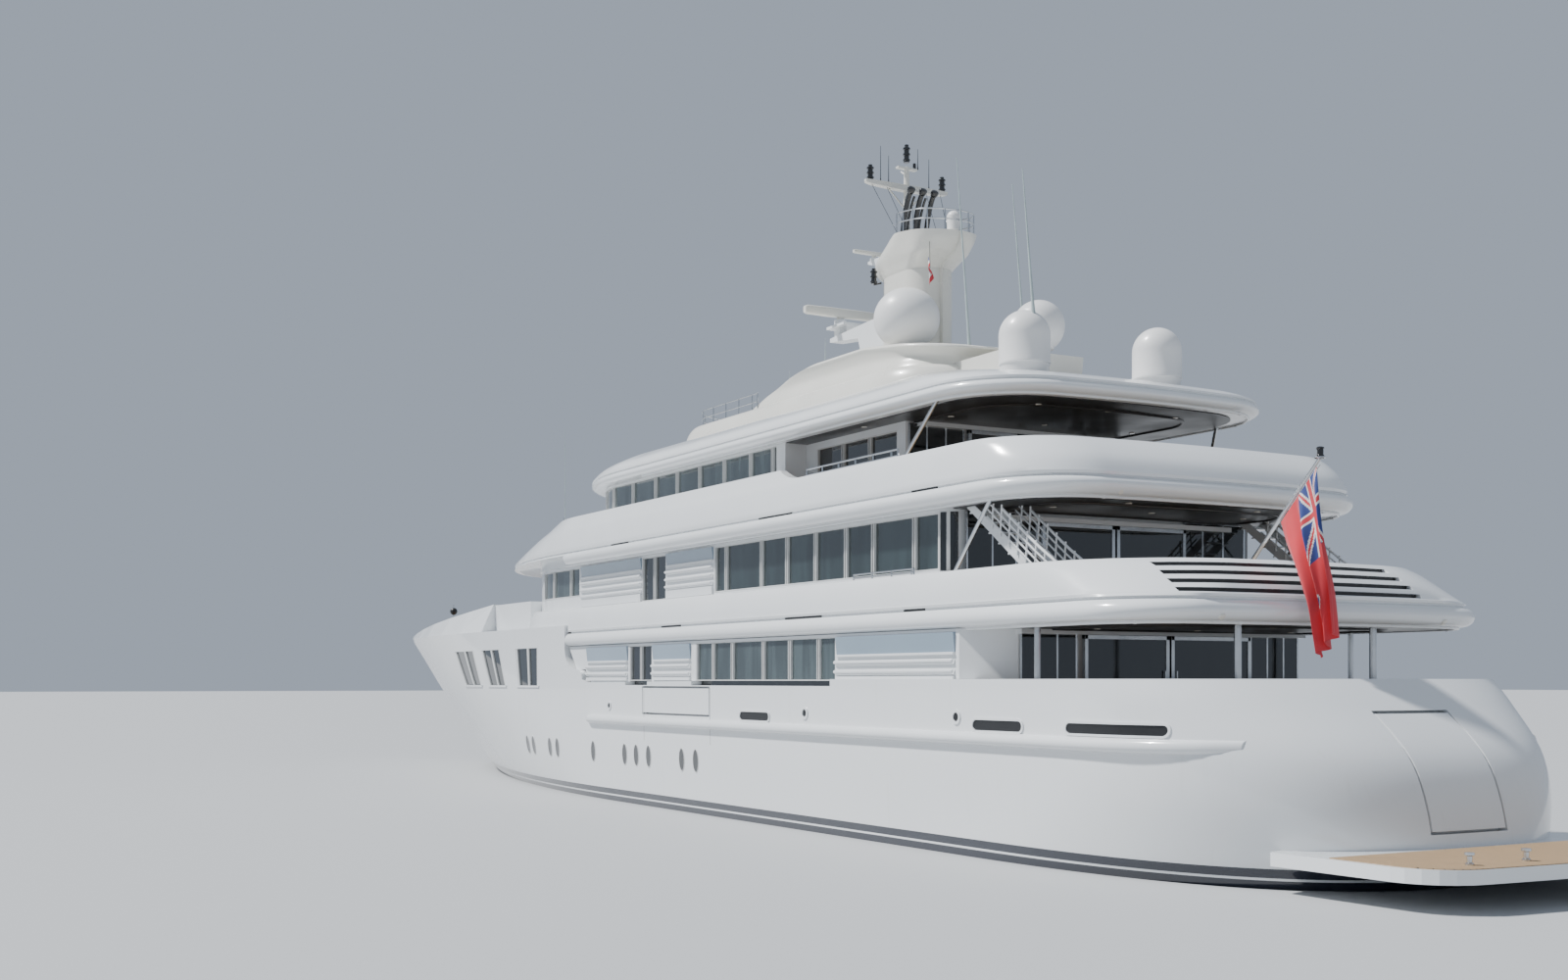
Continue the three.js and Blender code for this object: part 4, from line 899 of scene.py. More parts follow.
def along_plan(plan, x0, x1):
    """Points and outward normals of a port half plan, going aft from x1 to x0."""
    points = []
    for (ax, ay), (bx, by) in zip(plan, plan[1:]):
        if ax <= bx or bx > x1 or ax < x0:
            continue
        length = math.hypot(bx - ax, by - ay)
        nx, ny = (by - ay) / length, (ax - bx) / length
        for x in ([x1] if bx < x1 <= ax else []) + ([bx] if bx > x0 else [x0]):
            t = (x - ax) / (bx - ax)
            points.append((x, ay + (by - ay) * t, nx, ny))
    if points and points[0][0] < x1 - 0.01:
        points.insert(0, (x1, *points[0][1:]))
    return points


MAIN_PLAN = [(224, 530), (-2185, 530)]
UPPER_PLAN = [p for p in deck_half(1040, 480, 490, -2080, 40) if p[1] > 30]
BRIDGE_PLAN = [p for p in deck_half(470, 40, 430, -3000, 10) if p[0] > -1180] + [(-1180, 430)]
BRIDGE_AFT_PLAN = [(-1181, 360), (-1700, 360)]
PANE = (-11, -8)
BAR = (-12, -1)

# plan, first x, last x, sill z, head z, glass, dividers
WINDOWS = [
    (MAIN_PLAN, -1628, -805, 402, 514, "pale", [-915, -1039, -1228, -1380, -1536]),
    (MAIN_PLAN, -483, -309, 402, 514, "dark", [-396]),
    (UPPER_PLAN, 223, 610, 704, 803, "pale", [312, 480]),
    (UPPER_PLAN, -503, -320, 662, 803, "dark", [-412]),
    (UPPER_PLAN, -2050, -850, 668, 803, "green", [-920, -1142, -1292, -1450, -1609, -1744, -1934]),
    (BRIDGE_PLAN, -1130, 200, 1000, 1079, "pale", [67, -102, -286, -453, -619, -789, -962, -1100]),
    (BRIDGE_PLAN, 241, 469, 1000, 1079, "pale", [300, 360, 420, 455]),
    (BRIDGE_AFT_PLAN, -1660, -1240, 880, 1060, "dark", [-1380, -1520]),
]
GLASSES = {"pale": pale_glass, "green": green_glass, "dark": dark_glass}


def make_windows():
    panes = {key: Shape() for key in GLASSES}
    bars = Shape()
    for plan, x0, x1, z0, z1, tint, dividers in WINDOWS:
        edges = sorted([x0, *dividers, x1], reverse=True)
        for a, b in zip(edges, edges[1:]):
            strip_on(panes[tint], plan, b + 5, a - 5, z0 + 2, z1 - 1, *PANE)
        for x in dividers:
            strip_on(bars, plan, x + 4, x + 7, z0, z1, *BAR)
            strip_on(bars, plan, x - 7, x - 3, z0, z1, *BAR)
            strip_on(panes["dark"], plan, x - 3, x + 4, z0, z1, -12, -5)
        strip_on(bars, plan, x0, x0 + 4, z0, z1, *BAR)
        strip_on(bars, plan, x1 - 4, x1, z0, z1, *BAR)
        strip_on(bars, plan, x0, x1, z0 - 1, z0 + 2, -12, 1)
        strip_on(bars, plan, x0, x1, z1 - 2, z1, -12, -2)
    strip_on(panes["dark"], UPPER_PLAN, -2079, -2046, 664, 804, 0.2, 1.6)
    for x in (-2048, -2068):
        strip_on(bars, UPPER_PLAN, x - 3, x + 3, 664, 804, 1.4, 4)
    for key, shape in panes.items():
        shape.both().make(f"panes_{key}", GLASSES[key], smooth=20)
    bars.both().make("window_frames", frame_paint, bevel=0.8)


make_windows()


def capsule(shape, x0, x1, y, z, radius):
    """A round bar along the ship with rounded ends."""
    turns = [i / 4 * math.pi / 2 for i in range(5)]
    width = [max(0.2, radius * math.sin(t)) for t in turns]
    reach = [radius * 1.2 * (1 - math.cos(t)) for t in turns]
    spine = [(x1 - r, y, z) for r in reach] + [(x0 + r, y, z) for r in reversed(reach)]
    return shape.tube(spine, width + width[::-1], 12)


# side, first x, last x, ledge z, rib heights, foot z, panel top z
RIBS = [
    (530, -295, 51, 465, (448, 424), 402, 514),
    (530, -769, -496, 465, (448, 424), 402, 514),
    (530, -2170, -1637, 465, (448, 424), 402, 514),
    (490, -317, 200, 765, (746, 722, 699), 662, 805),
    (490, -842, -514, 765, (746, 722, 699), 662, 805),
]


def make_ribs():
    ribs = Shape()
    panels = Shape()
    for y, x0, x1, ledge, heights, foot, top in RIBS:
        plan = [(x1 + 50, y), (x0 - 50, y)]
        strip_on(panels, plan, x0, x1, ledge + 3, top, (0, 0), (2, 7))
        strip_on(ribs, plan, x0, x1, ledge - 3, ledge + 3, 0, 7)
        strip_on(ribs, plan, x0, x1, foot, heights[-1] - 12, 0, 7)
        for z in heights:
            strip_on(ribs, plan, x0, x1, z - 8, z + 3, 0, (6, 2))
            capsule(ribs, x0 + 4, x1 + 10, y + 4, z, 5)
    # The side panels are white gloss paint with the sky reflection and the shade painted in as blue-grey
    panels.both().make("side_panels", sky_reflection_and_shade)
    ribs.both().make("side_ribs", white_paint, bevel=0.8)


make_ribs()


# Ceilings and decks
def make_ceilings():
    roof = deck_half(-1186, -1187, 430, -2178, 196, 2)
    bridge = deck_half(-2084, -2085, 476, -2424, 176, 2)
    upper = deck_half(-2296, -2297, 478, -2768, 152, 2)
    ceilings = Shape()
    for plan, z in ((roof, 1082), (bridge, 812), (upper, 522)):
        ceilings.rings([both_sides(plan, z - 2.5), both_sides(plan, z + 0.2)])
    # The near-black soffit finish is painted shade on these ceilings and coves
    ceilings.make("ceilings", soffit_painted_shade, smooth=20)
    coves = Shape()
    for x, half, aft, corner, z in ((-1230, 330, -2080, 150, 1079.5), (-2130, 380, -2350, 120, 809.5),
                                    (-2340, 380, -2690, 120, 519.5)):
        coves.tube(both_sides(deck_half(x, x - 1, half, aft, corner, 2), z), 4, 8, closed=True)
    coves.make("ceiling_coves", soffit_painted_shade)
    lights = Shape()
    rows = [(1079, [(-1300, 230), (-1300, 0), (-1560, 400), (-1820, 300),
                    (-1820, 0), (-2080, 220), (-2080, 0)]),
            (809, [(-2240, 300), (-2240, 0), (-2390, 200)]),
            (519, [(-2400, 300), (-2400, 0), (-2640, 300), (-2640, 0)])]
    for z, spots in rows:
        for x, y in spots:
            for s in ((1, -1) if y else (1,)):
                lights.spun([(0, -1.6), (7, -1.6), (8, -0.6), (8, 0), (0, 0)], (x, s * y, z), 16)
    lights.make("ceiling_lights", lamp_glass)


def make_decks():
    main = [(-2294, 0), (-2294, 529)]
    main += [p for p in waterline(row_at(HULL_LINES, HULL_RAIL_Z), 18) if p[0] < -2294]
    upper = deck_half(-2084, -2085, 480, -2718, 298, 2)
    bridge = [(-1204, 0), (-1204, 484)]
    bridge += [p for p in deck_half(-1159, -1160, 486, -2374, 169, 2) if p[0] < -1204]
    fore = [p for p in waterline(HULL_LINES[-1], 48) if p[0] > 1166]
    fore += [(1166, fore[-1][1]), (1166, 0)]
    swim = [(-3190, 0), (-3190, 414)] + [p for p in deck_half(-3020, -3060, 416, -3448, 104) if p[0] < -3190]
    decks = Shape()
    for plan, z in ((main, MAIN_DECK_Z), (upper, UPPER_DECK_Z), (fore, FOREDECK_Z), (swim, 78)):
        decks.rings([both_sides(plan, z - 0.2), both_sides(plan, z + 1.6)])
    decks.make("teak_decks", teak, smooth=20)
    bridge_deck = prism(bridge, 849.8, 851.6).loose("teak_bridge")
    stairs = [Shape().side_box(s, -2282, -2088, 384, 476, 800, 870) for s in (1, -1)]
    carve(bridge_deck, [*stairs, cut_box(-1702, -1150, -362, 362, 800, 870)])
    settle(bridge_deck, teak, smooth=20)


# Trim under the rolls, drain slots in the grooves, small lights
def path_round(plan, z, x_limit):
    half = [p for p in plan if p[0] < x_limit]
    return [(x, y, z) for x, y in half] + [(x, -y, z) for x, y in reversed(half[:-1])]


def make_band_trim():
    gutters = Shape()
    for row, z, x_limit in ((UPPER_BAND[0], 520.5, 560), (BRIDGE_BAND[0], 810.5, 300), (ROOF[0], 1081, -200)):
        _, nose, start, half, aft, corner = row
        path = path_round(deck_half(nose - 8, start - 8, half + 4, aft - 4, corner), z, x_limit)
        gutters.tube(path, 3.2, 8)
        for x, y, _ in path[2::9]:
            gutters.tube([(x - 3, y, z), (x + 3, y, z)], 4.2, 8)
    gutters.make("gutters", white_paint)
    drains = Shape()
    # Black boxes in the grooves: painted shade inside the drain openings
    for x0, x1 in ((-1560, -1362), (-2047, -1955), (-700, -560), (200, 330)):
        drains.box(x0, x1, 529, 533, 568.2, 572.8)
    for x0, x1 in ((-1400, -1210), (-2100, -1990), (-300, -160)):
        drains.box(x0, x1, 529, 533, 854.2, 857.8)
    drains.both().make("drain_slot_shade", black_paint, bevel=0.8)
    lights = Shape()
    for x, y, z in ((-2332, 536, 536), (-1336, 540, 536), (-836, 540, 536),
                    (-1600, 535, 826), (-2150, 535, 826)):
        lights.spun([(0, -3), (5, -3), (6, 0), (5, 3), (0, 4)], (x, y, z), 14, (0, 0.6, -0.8))
    for place in ((-2826, 330, 532), (-2826, 110, 532), (-2480, 300, 822), (-2480, 100, 822)):
        lights.spun([(0, -3), (7, -3), (8, 0), (7, 3), (0, 4)], place, 14, (-0.7, 0, -0.7))
    lights.both().make("roll_lights", lamp_glass)


# Domes and mast fittings
def ball_profile(foot, radius, height, middle, lowest=0.0):
    """A turned profile: the foot, a ball from an angle below its middle, and its crown."""
    turns = [lowest * (1 - i / 10) for i in range(11)] if lowest else []
    turns += [i / 14 * math.pi / 2 for i in range(1, 15)]
    return foot + [(radius * math.cos(t), middle + height * math.sin(t)) for t in turns]


def make_domes():
    can = [(0, 0), (61, 0), (61, 34), (62, 36), (65, 37), (65, 42), (64, 44), (64, 108)]
    cup = [(0, 0), (13, 0), (14, 4), (18, 8), (19, 9), (19, 13), (18.5, 14), (19.5, 46)]
    dish = [(0, 0), (26, 0), (26, 11), (40, 12), (42, 17)]
    tall = ball_profile(can, 64, 64, 108)
    wide = ball_profile([(0, 0), (46, 0), (46, 7)], 94, 88, 86, -1.06)
    # name, node, profile, foot of the axis, steps round
    for name, node, profile, place, steps in (
            ("capsule_port", "dome_aft_port", tall, (-2017, 215, 1150), 56),
            ("capsule_starboard", "dome_aft_starboard", tall, (-2017, -215, 1150), 56),
            ("dome_mast", "dome_port", wide, (-1374, 143, 1343), 64),
            ("dome_dish", "dome_small", ball_profile(cup, 19.5, 19.5, 46), (-1400, 0, 1684), 40),
            ("dome_middle", "dome_centre", ball_profile(dish, 70, 70, 74, -0.92), (-1795, 0, 1270.3), 56)):
        Shape().spun(profile, place, steps).make(name, dome_paint, node)


LAMP_STACK = [(0, 0), (9, 0), (9, 4), (11, 5), (11, 9), (8, 10), (8, 19), (11, 20), (11, 25), (8, 26),
              (8, 35), (11, 36), (11, 41), (7, 44), (6, 50), (0, 52)]


def lamp_stack(shape, x, y, z, height, width=1.0):
    scale = height / 52
    shape.spun([(r * width, h * scale) for r, h in LAMP_STACK], (x, y, z), 20)


POLE_X = -1155
YARD_Z = 1877


def make_pole_mast():
    mast = Shape()
    pole = [(0, 0), (16, 0), (16, 5), (11, 9), (10, 120), (9, 160), (8, 240), (0, 241)]
    mast.spun(pole, (POLE_X, 0, 1700), 20)
    for side in (1, -1):
        rings = []
        for y, w, h in ((0, 12, 11), (60, 11, 9), (125, 10, 6), (142, 8, 3), (146, 5, 0)):
            corners = ((-w, -h), (w, -h), (w, 7), (-w, 7))
            rings.append([(POLE_X + a, side * y, YARD_Z + b) for a, b in corners][::side])
        mast.rings(rings)
    mast.box(POLE_X - 8, POLE_X + 8, -34, 34, 1932, 1938)
    mast.rod((POLE_X, 0, 1915), (POLE_X + 30, 0, 1934), 2.5)
    for side in (1, -1):
        mast.rod((POLE_X, side * 70, YARD_Z - 4), (POLE_X, side * 12, 1820), 2.5)
    mast.make("mast_pole", cream_paint, "pole_mast", bevel=0.8)
    lamps = Shape()
    lamp_stack(lamps, POLE_X, 0, 1953, 56)
    for y in (128, -128):
        lamp_stack(lamps, POLE_X, y, 1884, 46)
    lamp_stack(lamps, POLE_X, -28, 1938, 18, 0.55)
    for y in (90, -90):
        lamp_stack(lamps, -1114, y, 1588, 48)
        lamps.rod((-1114, y, 1586), (-1120, y * 0.75, 1592), 3)
    lamps.make("lamp_stacks", gloss_black)
    aerials = Shape()
    for y, z0, z1 in ((92, 1884, 1990), (64, 1884, 1965), (-40, 1938, 2000), (-80, 1884, 1975)):
        aerials.tube([(POLE_X, y, z0), (POLE_X, y, z0 + 12), (POLE_X, y, z1)], [2.2, 1.2, 0.6], 8)
    for y in (122, 70, -70, -122):
        aerials.rod((POLE_X, y, YARD_Z - 6), (-1250, y * 0.75, 1704), 0.7, 6)
    aerials.make("aerials_and_stays", black_paint)


def make_exhausts():
    pipes = Shape()
    for y in (-41, 0, 41):
        spine = smooth_rows([(-1196, y, 1720), (-1206, y, 1770), (-1224, y, 1818), (-1244, y, 1846)], 6)
        pipes.tube(spine, 8, 18)
        outlet = [(0, -14), (6, -14), (10, -9), (12, -2), (12, 3), (10, 7), (6, 9), (0, 9.5)]
        pipes.spun(outlet, (-1243, y, 1845), 20, (-0.6, 0, 0.8))
        pipes.spun([(0, 0), (13, 0), (13, 3), (9, 5), (9, 10), (0, 10)], (-1197, y, 1716), 20)
    for y in (-20, 20):
        spine = smooth_rows([(-1186, y, 1720), (-1196, y, 1770), (-1214, y, 1812), (-1228, y, 1832)], 6)
        pipes.tube(spine, 4, 12)
    pipes.box(-1222, -1176, -56, 56, 1706, 1717)
    pipes.make("exhausts", gloss_black, "exhaust_pipes", bevel=0.6)


def rail_run(shape, path, post_foot, rails, spacing, radius=2.4):
    """Horizontal rails above a path and posts down to it; post_foot is how far below the path they stand."""
    for height in rails:
        shape.tube([(x, y, z + height) for x, y, z in path], radius, 8)
    posts = []
    gone = spacing
    for a, b in zip(path, path[1:]):
        length = math.dist(a, b)
        while gone <= length:
            posts.append(between(a, b, gone / length))
            gone += spacing
        gone -= length
    for x, y, z in (*posts, path[0], path[-1]):
        shape.rod((x, y, z - post_foot), (x, y, z + rails[-1]), radius, 8)


def make_rails():
    rails = Shape()
    dish = [(x, y, 1712.5 - TOWER_SLOPE * max(0.0, TOWER_SLOPE_X - x))
            for x, y in deck_half(-1170, -1290, 98, -1428, 97, 20) if x < -1230]
    rail_run(rails, dish + [(x, -y, z) for x, y, z in reversed(dish[:-1])], 1, (32, 60), 52, 2)
    roof = [(x, y, 1262 + 2) for x, y in deck_half(-104, -310, 244, -700, 20, 14) if x > -680 and y > 20]
    rail_run(rails, roof, 3, (26, 52), 92, 2)
    rail_run(rails, [(x, -y, z) for x, y, z in roof], 3, (26, 52), 92, 2)
    rails.make("deck_rails_top", steel)
    side = Shape()
    for s in (1, -1):
        rail = [(-1440, s * 508, 953), (-1700, s * 512, 953), (-1900, s * 513, 953)]
        rail_run(side, rail, 3, (2, 18), 86, 2.6)
        rail_run(side, [(-1690, s * 512, 661), (-1970, s * 512, 661)], 4, (3, 12), 90, 2.4)
    side.make("bulwark_rails", steel)
    brow = Shape()
    for s in (1, -1):
        rail_run(brow, [(960, s * 150, 972), (940, s * 250, 968), (780, s * 330, 976)], 8, (30, 60), 60, 2.2)
    rail_run(brow, [(960, -150, 972), (975, 0, 972), (960, 150, 972)], 8, (30, 60), 60, 2.2)
    brow.make("brow_rails", steel)


def make_whips():
    whips = Shape()
    for foot, head, radius in (((-1612, 95, 1318), (-1552, 95, 1847), 4),
                               ((-2054, 215, 1306), (-2009, 215, 1677), 4),
                               ((-1612, -95, 1318), (-1552, -95, 1800), 4),
                               ((-980, 180, 1350), (-980, 180, 1440), 2),
                               ((-650, 120, 1266), (-650, 120, 1400), 2)):
        path = [between(foot, head, t) for t in (0, 0.08, 0.35, 0.7, 1.0)]
        whips.tube(path, [radius * 1.3, radius, radius * 0.7, radius * 0.5, radius * 0.3], 10)
    whips.tube([(1600, 0, 858), (1600, 0, 900), (1600, 0, 1520)], [5, 3, 1], 10)
    whips.make("whips", aerial_paint)


def rounded(value):
    """Turns a circle's coordinate into that of a box with round corners."""
    return math.copysign(abs(value) ** 0.5, value)


def make_radars():
    # share of the length, of the thickness and of the depth
    half = [(0.2, 1, 1), (0.47, 0.95, 0.92), (0.5, 0.7, 0.72)]
    for name, x, z, length, thick, depth in (("main", -770, 1552.3, 264, 24, 30),
                                             ("small", -973, 1706.3, 150, 14, 12)):
        rings = []
        for y, w, h in [(-y, w, h) for y, w, h in reversed(half)] + half:
            a, b, middle = thick / 2 * w, depth / 2 * h, z + 8 + depth / 2
            section = [(x + a * rounded(math.cos(t)), length * y, middle + b * rounded(math.sin(t)))
                       for t in angles(24)]
            rings.append(section[::-1])
        bar = Shape().rings(rings)
        foot = thick * 0.5
        bar.spun([(0, 0), (foot, 0), (foot, 5), (thick * 0.4, 9), (0, 9)], (x, 0, z), 24)
        bar.make(f"radar_bar_{name}", cream_paint, f"radar_{name}_scanner",
                 body=f"radar_{name}", slot="white_paint")


# Stairs between the upper and the bridge deck
STAIR = dict(foot=-2500, head=-2090, y0=392, y1=468, z0=UPPER_DECK_Z, z1=BRIDGE_DECK_Z, steps=11)


def make_stairs():
    foot, head, y0, y1, z0, z1, steps = STAIR.values()
    run, rise = head - foot, z1 - z0
    stringer = [(foot, 561), (foot + 26, 561), (head, 836), (head, 849.5), (head - 14, 849.5), (foot, 578)]
    for side, name in SIDES:
        stair = Shape()
        for y in (y0, y1 - 4):
            stair.slab(stringer, *sorted((side * y, side * (y + 4))))
        for i in range(1, steps):
            x, z = foot + run * i / steps, z0 + rise * i / steps
            stair.side_box(side, x - 4, x + 28, y0 + 2, y1 - 2, z - 4, z)
        stair.make(f"stairs_{name}", white_paint, f"stair_{name}", bevel=0.8)
        rails = Shape()
        for y in (side * (y0 - 3), side * (y1 + 3)):
            for lift in (14, 32, 50, 68):
                spine = [(foot - 16, y, 561 + lift * 0.4), (foot + 6, y, 572 + lift)]
                spine += [(foot + run * t, y, z0 + rise * t + 4 + lift) for t in (0.25, 0.5, 0.7)]
                rails.tube([p for p in smooth_rows(spine, 4) if p[2] < 808], 2.2 if lift < 60 else 3.2, 8)
            for i in range(9):
                t = 0.03 + i * 0.078
                x, z = foot + run * t, z0 + rise * t
                rails.rod((x, y, z + 2), (x - 6, y, min(z + 76, 808)), 2.2, 8)
        rails.make(f"stair_rails_{name}", white_paint)


# Aft bulkheads: glass leaves with frames, and dark glazing on each side of them
# node stem, aft face, leaf reach, z foot, z head
LEAVES = [("saloon", -2302, 260, 305, 508), ("upper", -2104, 230, 565, 788),
          ("bridge", -1712, 170, 855, 1068)]


def make_doors_aft():
    for stem, x, reach, z0, z1 in LEAVES:
        for side, name in SIDES:
            node = f"{stem}_door_{name}"
            glass = Shape().side_box(side, x - 3, x + 3, 12, reach - 8, z0 + 9, z1 - 9)
            glass.make(f"{stem}_leaf_glass_{name}", dark_glass, body=node, bevel=0.5)
            bars = Shape()
            for y0, y1, a, b in ((3, 13, z0, z1), (reach - 9, reach, z0, z1),
                                 (3, reach, z0, z0 + 10), (3, reach, z1 - 10, z1)):
                bars.side_box(side, x - 6, x + 6, y0, y1, a, b)
            bars.rod((x - 9, side * 18, z0 + 60), (x - 9, side * 18, z0 + 120), 2, 8)
            for z in (z0 + 64, z0 + 116):
                bars.rod((x - 9, side * 18, z), (x - 5, side * 18, z), 1.6, 8)
            bars.make(f"{stem}_leaf_frame_{name}", steel, node, body=node, slot="dark_glass", bevel=0.8)
    glass, bars = Shape(), Shape()
    # face x, first y, last y, z foot, z head, bars at
    for x, y0, y1, z0, z1, dividers in ((-2290, 272, 436, 312, 512, (330, 385)),
                                        (-2092.5, 236, 446, 570, 806, (300, 370)),
                                        (-1700, 176, 352, 860, 1074, (235, 295))):
        glass.box(x - 2.5, x + 0.5, y0, y1, z0, z1)
        for y in (y0 + 2, *dividers, y1 - 2):
            bars.box(x - 4, x, y - 2.5, y + 2.5, z0, z1)
        bars.box(x - 4, x, y0, y1, z0 - 3, z0).box(x - 4, x, y0, y1, z1, z1 + 3)
    glass.both().make("bulkhead_glass", dark_glass, smooth=20)
    bars.both().make("bulkhead_bars", steel, slot="white_paint", bevel=0.6)


# Foredeck and swim platform fittings
CAPSTAN = [(0, 0), (34, 0), (34, 8), (26, 12), (22, 22), (18, 30), (22, 40), (30, 46), (30, 52),
           (12, 56), (0, 57)]
GYPSY = [(0, -18), (16, -18), (24, -12), (16, -6), (16, 6), (24, 12), (16, 18), (0, 18)]
BOLLARD = [(0, 0), (10, 0), (10, 3), (7, 5), (7, 26), (10, 28), (10, 32), (0, 33)]
CLEAT = [(0, 0), (8, 0), (8, 3), (5, 5), (5, 16), (9, 18), (9, 22), (0, 23)]


def make_foredeck():
    gear = Shape()
    top = FOREDECK_TOP
    for y in (90, -90):
        gear.spun(CAPSTAN, (2180, y, top), 28)
        gear.spun(GYPSY, (2260, y, 590), 24, (0, 1, 0))
        gear.box(2230, 2290, y - 20, y + 20, top, 584)
        for dy in (-4, 4):
            cable = [(2284, y + dy, 590), (2420, y + dy * 0.6, 572), (2560, y * 0.9 + dy * 0.4, 568)]
            gear.tube(cable, 2.6, 8)
        a = y * 0.9
        gear.rings([[(2540, a - 12, top), (2590, a - 12, top), (2590, a + 12, top), (2540, a + 12, top)],
                    [(2545, a - 8, 578), (2590, a - 8, 572), (2590, a + 8, 572), (2545, a + 8, 578)]])
    for x, y in ((1420, 330), (1980, 250), (2680, 120)):
        for s in (1, -1):
            for dx in (-16, 16):
                gear.spun(BOLLARD, (x + dx, s * y, top), 20)
            gear.box(x - 30, x + 30, s * y - 12, s * y + 12, top - 0.4, 563.5)
    gear.make("foredeck_gear", steel, bevel=0.8)
    hatches = Shape().box(1560, 1700, -60, 60, top, 572).box(1330, 1400, -40, 40, top, 580)
    hatches.make("foredeck_hatches", white_paint, bevel=3)
    Shape().tube([(3173, 0, 640), (3173, 0, 700), (3173, 0, 800)], [4, 3, 2.2], 10).make("jack_staff", steel)
    ball = [(19 * math.sin(t), -19 * math.cos(t)) for t in (i / 16 * math.pi for i in range(17))]
    Shape().spun(ball, (3173, 0, 764), 28).make("day_ball", black_paint)
    # Black strips at the locker fronts: painted shade in the gaps there
    Shape().box(1158, 1163, 440, 470, 640, 690).both().make("locker_gap_shade", black_paint, bevel=1)
    lamp = Shape().spun([(0, 0), (9, 0), (9, 6), (6, 9), (6, 16), (0, 17)], (600, 0, 1138), 20)
    lamp.spun([(0, -22), (12, -22), (17, -10), (18, 14), (16, 18), (0, 20)], (600, 0, 1170), 24, (1, 0, 0.05))
    lamp.make("search_light", white_paint)


def make_platform():
    cleats = Shape()
    for y in (-300, -150, 150, 300):
        cleats.spun(CLEAT, (-3400, y, 79.6), 20)
    cleats.make("platform_cleats", steel)


# Flags
def cloth(name, color):
    material = weathered(name, color, 0.82, 0.75, 9.0, 1400.0, 0.35)
    material.node_tree.nodes["Principled BSDF"].inputs["Sheen Weight"].default_value = 0.25
    return material


BUNTING = [cloth("bunting_red", (0.62, 0.035, 0.05)), cloth("bunting_navy", (0.02, 0.045, 0.22)),
           cloth("bunting_white", (0.80, 0.79, 0.76))]
# Places of the colours in that list
RED, NAVY, WHITE_BUNTING = range(3)


def hung_cloth(name, rows, columns, place, finish, thickness=1.0):
    """A hanging sheet as a grid: place(u, v) in millimetres, finish(u, v) the index of its colour."""
    points = [place(i / columns, j / rows) for j in range(rows + 1) for i in range(columns + 1)]
    faces = []
    looks = []
    for j in range(rows):
        for i in range(columns):
            a = j * (columns + 1) + i
            faces.append((a, a + 1, a + columns + 2, a + columns + 1))
            looks.append(finish((i + 0.5) / columns, (j + 0.5) / rows))
    obj = Shape().add(points, faces).loose(name)
    for look in BUNTING:
        obj.data.materials.append(look)
    obj.data.polygons.foreach_set("material_index", looks)
    solid = obj.modifiers.new("cloth", "SOLIDIFY")
    solid.thickness = thickness * MM
    solid.offset = 0
    return obj


def spline_at(points, t):
    """A point at share t along a smooth curve through some points."""
    fine = smooth_rows(points, 16)
    place = t * (len(fine) - 1)
    i = min(int(place), len(fine) - 2)
    return between(fine[i], fine[i + 1], place - i)


# Upper edge and lower edge of the ensign, from the hoist to the fly, hanging clear of the stern
ENSIGN_UPPER = [(-2862, 100, 846), (-2870, 102, 800), (-2884, 106, 724), (-2898, 108, 658),
                (-2910, 108, 593), (-2916, 106, 500)]
ENSIGN_LOWER = [(-2762, 100, 739), (-2790, 112, 690), (-2824, 124, 640), (-2852, 128, 580),
                (-2868, 124, 531), (-2874, 116, 482), (-2880, 110, 448)]
ENSIGN_SIZE = (0.176, 0.352)


def ensign_place(u, v):
    x, y, z = between(spline_at(ENSIGN_UPPER, v), spline_at(ENSIGN_LOWER, v), u)
    loose = min(1.0, v * 3.2)
    fold = math.sin(u * math.tau * 2.4 + 0.6 + 1.1 * v) + 0.35 * math.sin(u * math.tau * 4.1 + 2.0 - 2.0 * v)
    calm = math.sin(min(1.0, u * 6) * math.pi / 2) * math.sin(min(1.0, (1 - u) * 6) * math.pi / 2)
    y += loose * (11 + 3 * v) * fold * calm
    x += loose * 3 * math.cos(u * math.tau * 2.4 + 1.1 * v)
    return x, y, z


def ensign_finish(u, v):
    """Red field, a crossed canton by the hoist and a plain roundel on the fly."""
    if u < 0.5 and v < 0.5:
        a, b = v * 2 - 0.5, u * 2 - 0.5
        if abs(b) < 0.075 or abs(a) < 0.0375:
            return RED
        if abs(b) < 0.13 or abs(a) < 0.065:
            return WHITE_BUNTING
        for way in (a - b, a + b):
            if abs(way) < 0.035:
                return RED
            if abs(way) < 0.085:
                return WHITE_BUNTING
        return NAVY
    around = math.hypot((u - 0.5) * ENSIGN_SIZE[0], (v - 0.74) * ENSIGN_SIZE[1])
    if around < 0.016:
        return NAVY if around < 0.011 else WHITE_BUNTING
    return RED


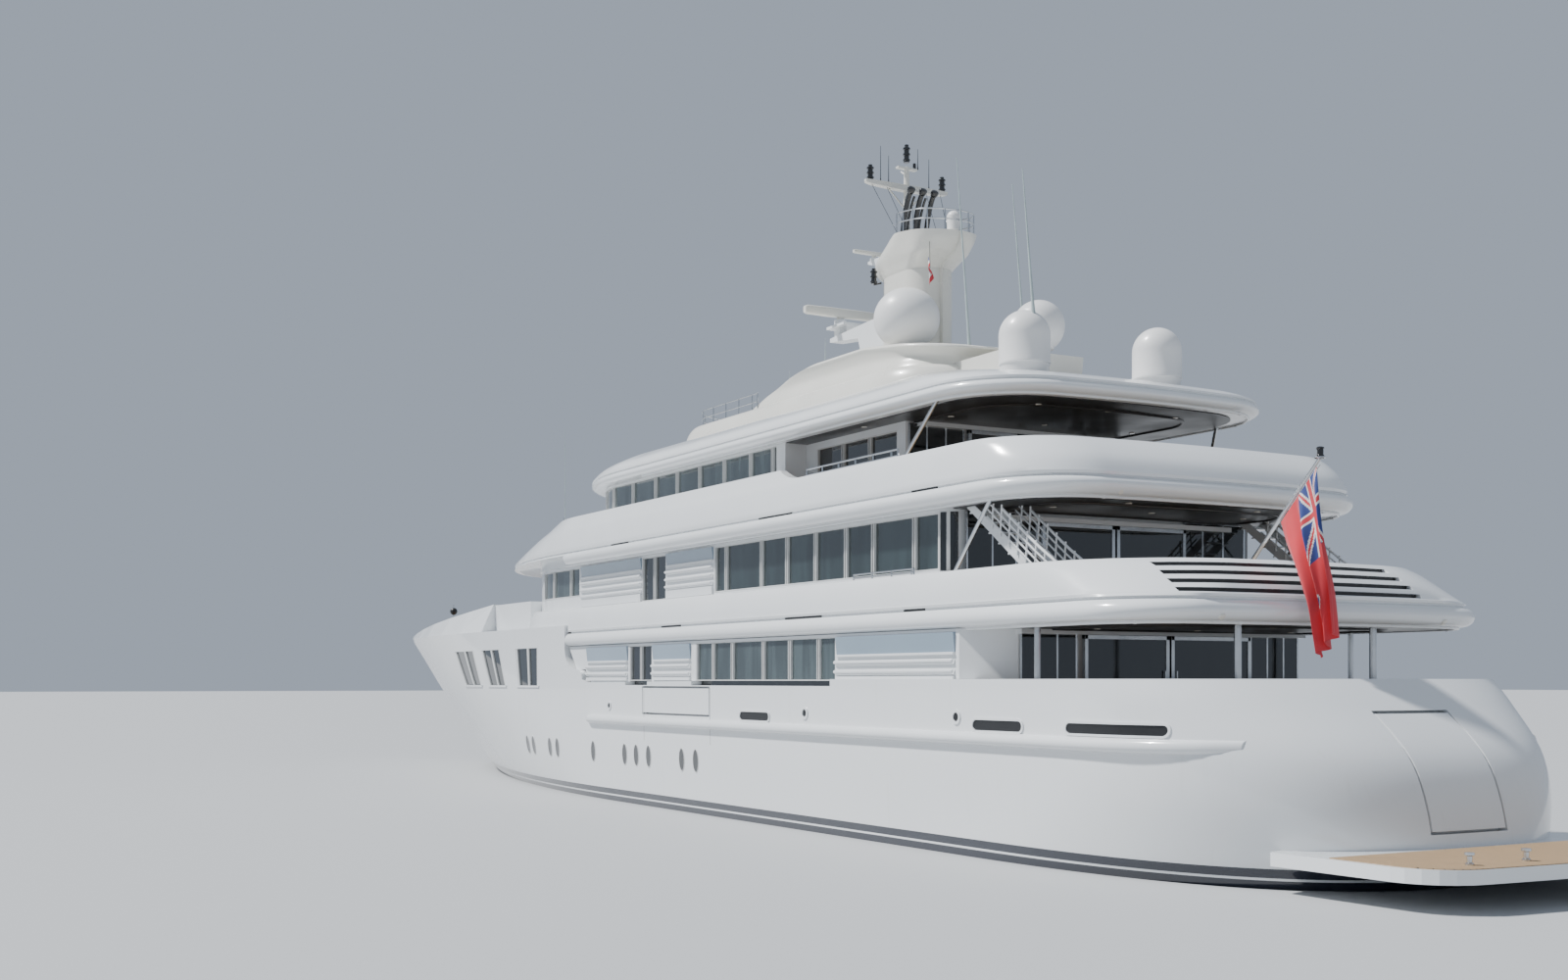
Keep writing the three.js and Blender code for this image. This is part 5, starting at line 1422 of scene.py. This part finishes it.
def make_flags():
    staff = Shape()
    foot, head = (-2582, 100, 563), (-2870, 100, 863)
    staff.tube([foot, between(foot, head, 0.12), head], [6.5, 5, 3.6], 16)
    staff.box(-2602, -2560, 84, 116, 560.4, 564)
    staff.spun([(0, 0), (10, 0), (10, 8), (7, 12), (7, 20), (0, 22)], (-2580, 100, 563), 20, (-0.69, 0, 0.72))
    staff.spun([(0, 0), (9, 0), (12, 2), (12, 4), (0, 5)], (-2871, 100, 862), 24)
    staff.rod((-2866, 94, 851), (-2758, 94, 737), 0.9, 6)
    staff.make("staff", steel, "ensign_staff", bevel=0.6)
    lantern = [(0, 0), (8.5, 0), (8.5, 3), (7, 4), (7, 15), (8.5, 16), (8.5, 19), (5, 21), (0, 21.5)]
    Shape().spun(lantern, (-2871, 100, 866.5), 20).make("staff_lantern", gloss_black)
    flag = hung_cloth("ensign_cloth", 150, 96, ensign_place, ensign_finish)
    settle(flag, None, "ensign", slot="bunting", smooth=60)
    line = Shape().tube([(-1385, 72, 1672), (-1388, 74, 1640), (-1392, 74, 1545)], 0.7, 6)
    line.make("courtesy_halyard", black_paint)

    def courtesy_place(u, v):
        fall = 58 * v * (0.55 + 0.45 * u)
        wave = math.sin(u * math.tau * 1.2 + 0.5)
        return (-1386 - 14 * v + 3 * math.sin(u * 5), 74 + 9 * v * wave + 2, 1612 - 34 * u - fall * 0.9)
    courtesy = hung_cloth("courtesy_cloth", 36, 24, courtesy_place,
                          lambda u, v: NAVY if v < 0.34 else WHITE_BUNTING if v < 0.67 else RED, 0.5)
    settle(courtesy, None, slot="bunting", smooth=60)


for make_part in (make_ceilings, make_decks, make_band_trim, make_domes, make_pole_mast, make_exhausts,
                  make_rails, make_whips, make_radars, make_stairs, make_doors_aft, make_foredeck,
                  make_platform, make_flags):
    make_part()


FLOOR_HALF = 60.0


def make_floor():
    mesh = bpy.data.meshes.new("floor")
    half = FLOOR_HALF
    corners = [(-half, -half, 0), (half, -half, 0), (half, half, 0), (-half, half, 0)]
    mesh.from_pydata(corners, [], [(0, 1, 2, 3)])
    floor = placed("floor", mesh)
    mesh.materials.append(new_material("floor", (0.44, 0.45, 0.46), 0.8))


make_floor()


def make_light():
    world = bpy.data.worlds.new("sky")
    bpy.context.scene.world = world
    world.use_nodes = True
    world.node_tree.nodes["Background"].inputs["Color"].default_value = (0.72, 0.83, 1.0, 1)
    world.node_tree.nodes["Background"].inputs["Strength"].default_value = 0.5
    sun = bpy.data.lights.new("sun", "SUN")
    sun.energy = 6.2
    sun.angle = math.radians(4)
    lamp = placed("sun", sun)
    lamp.rotation_euler = Vector((-0.42, -0.62, -1.0)).to_track_quat("-Z", "Y").to_euler()


make_light()
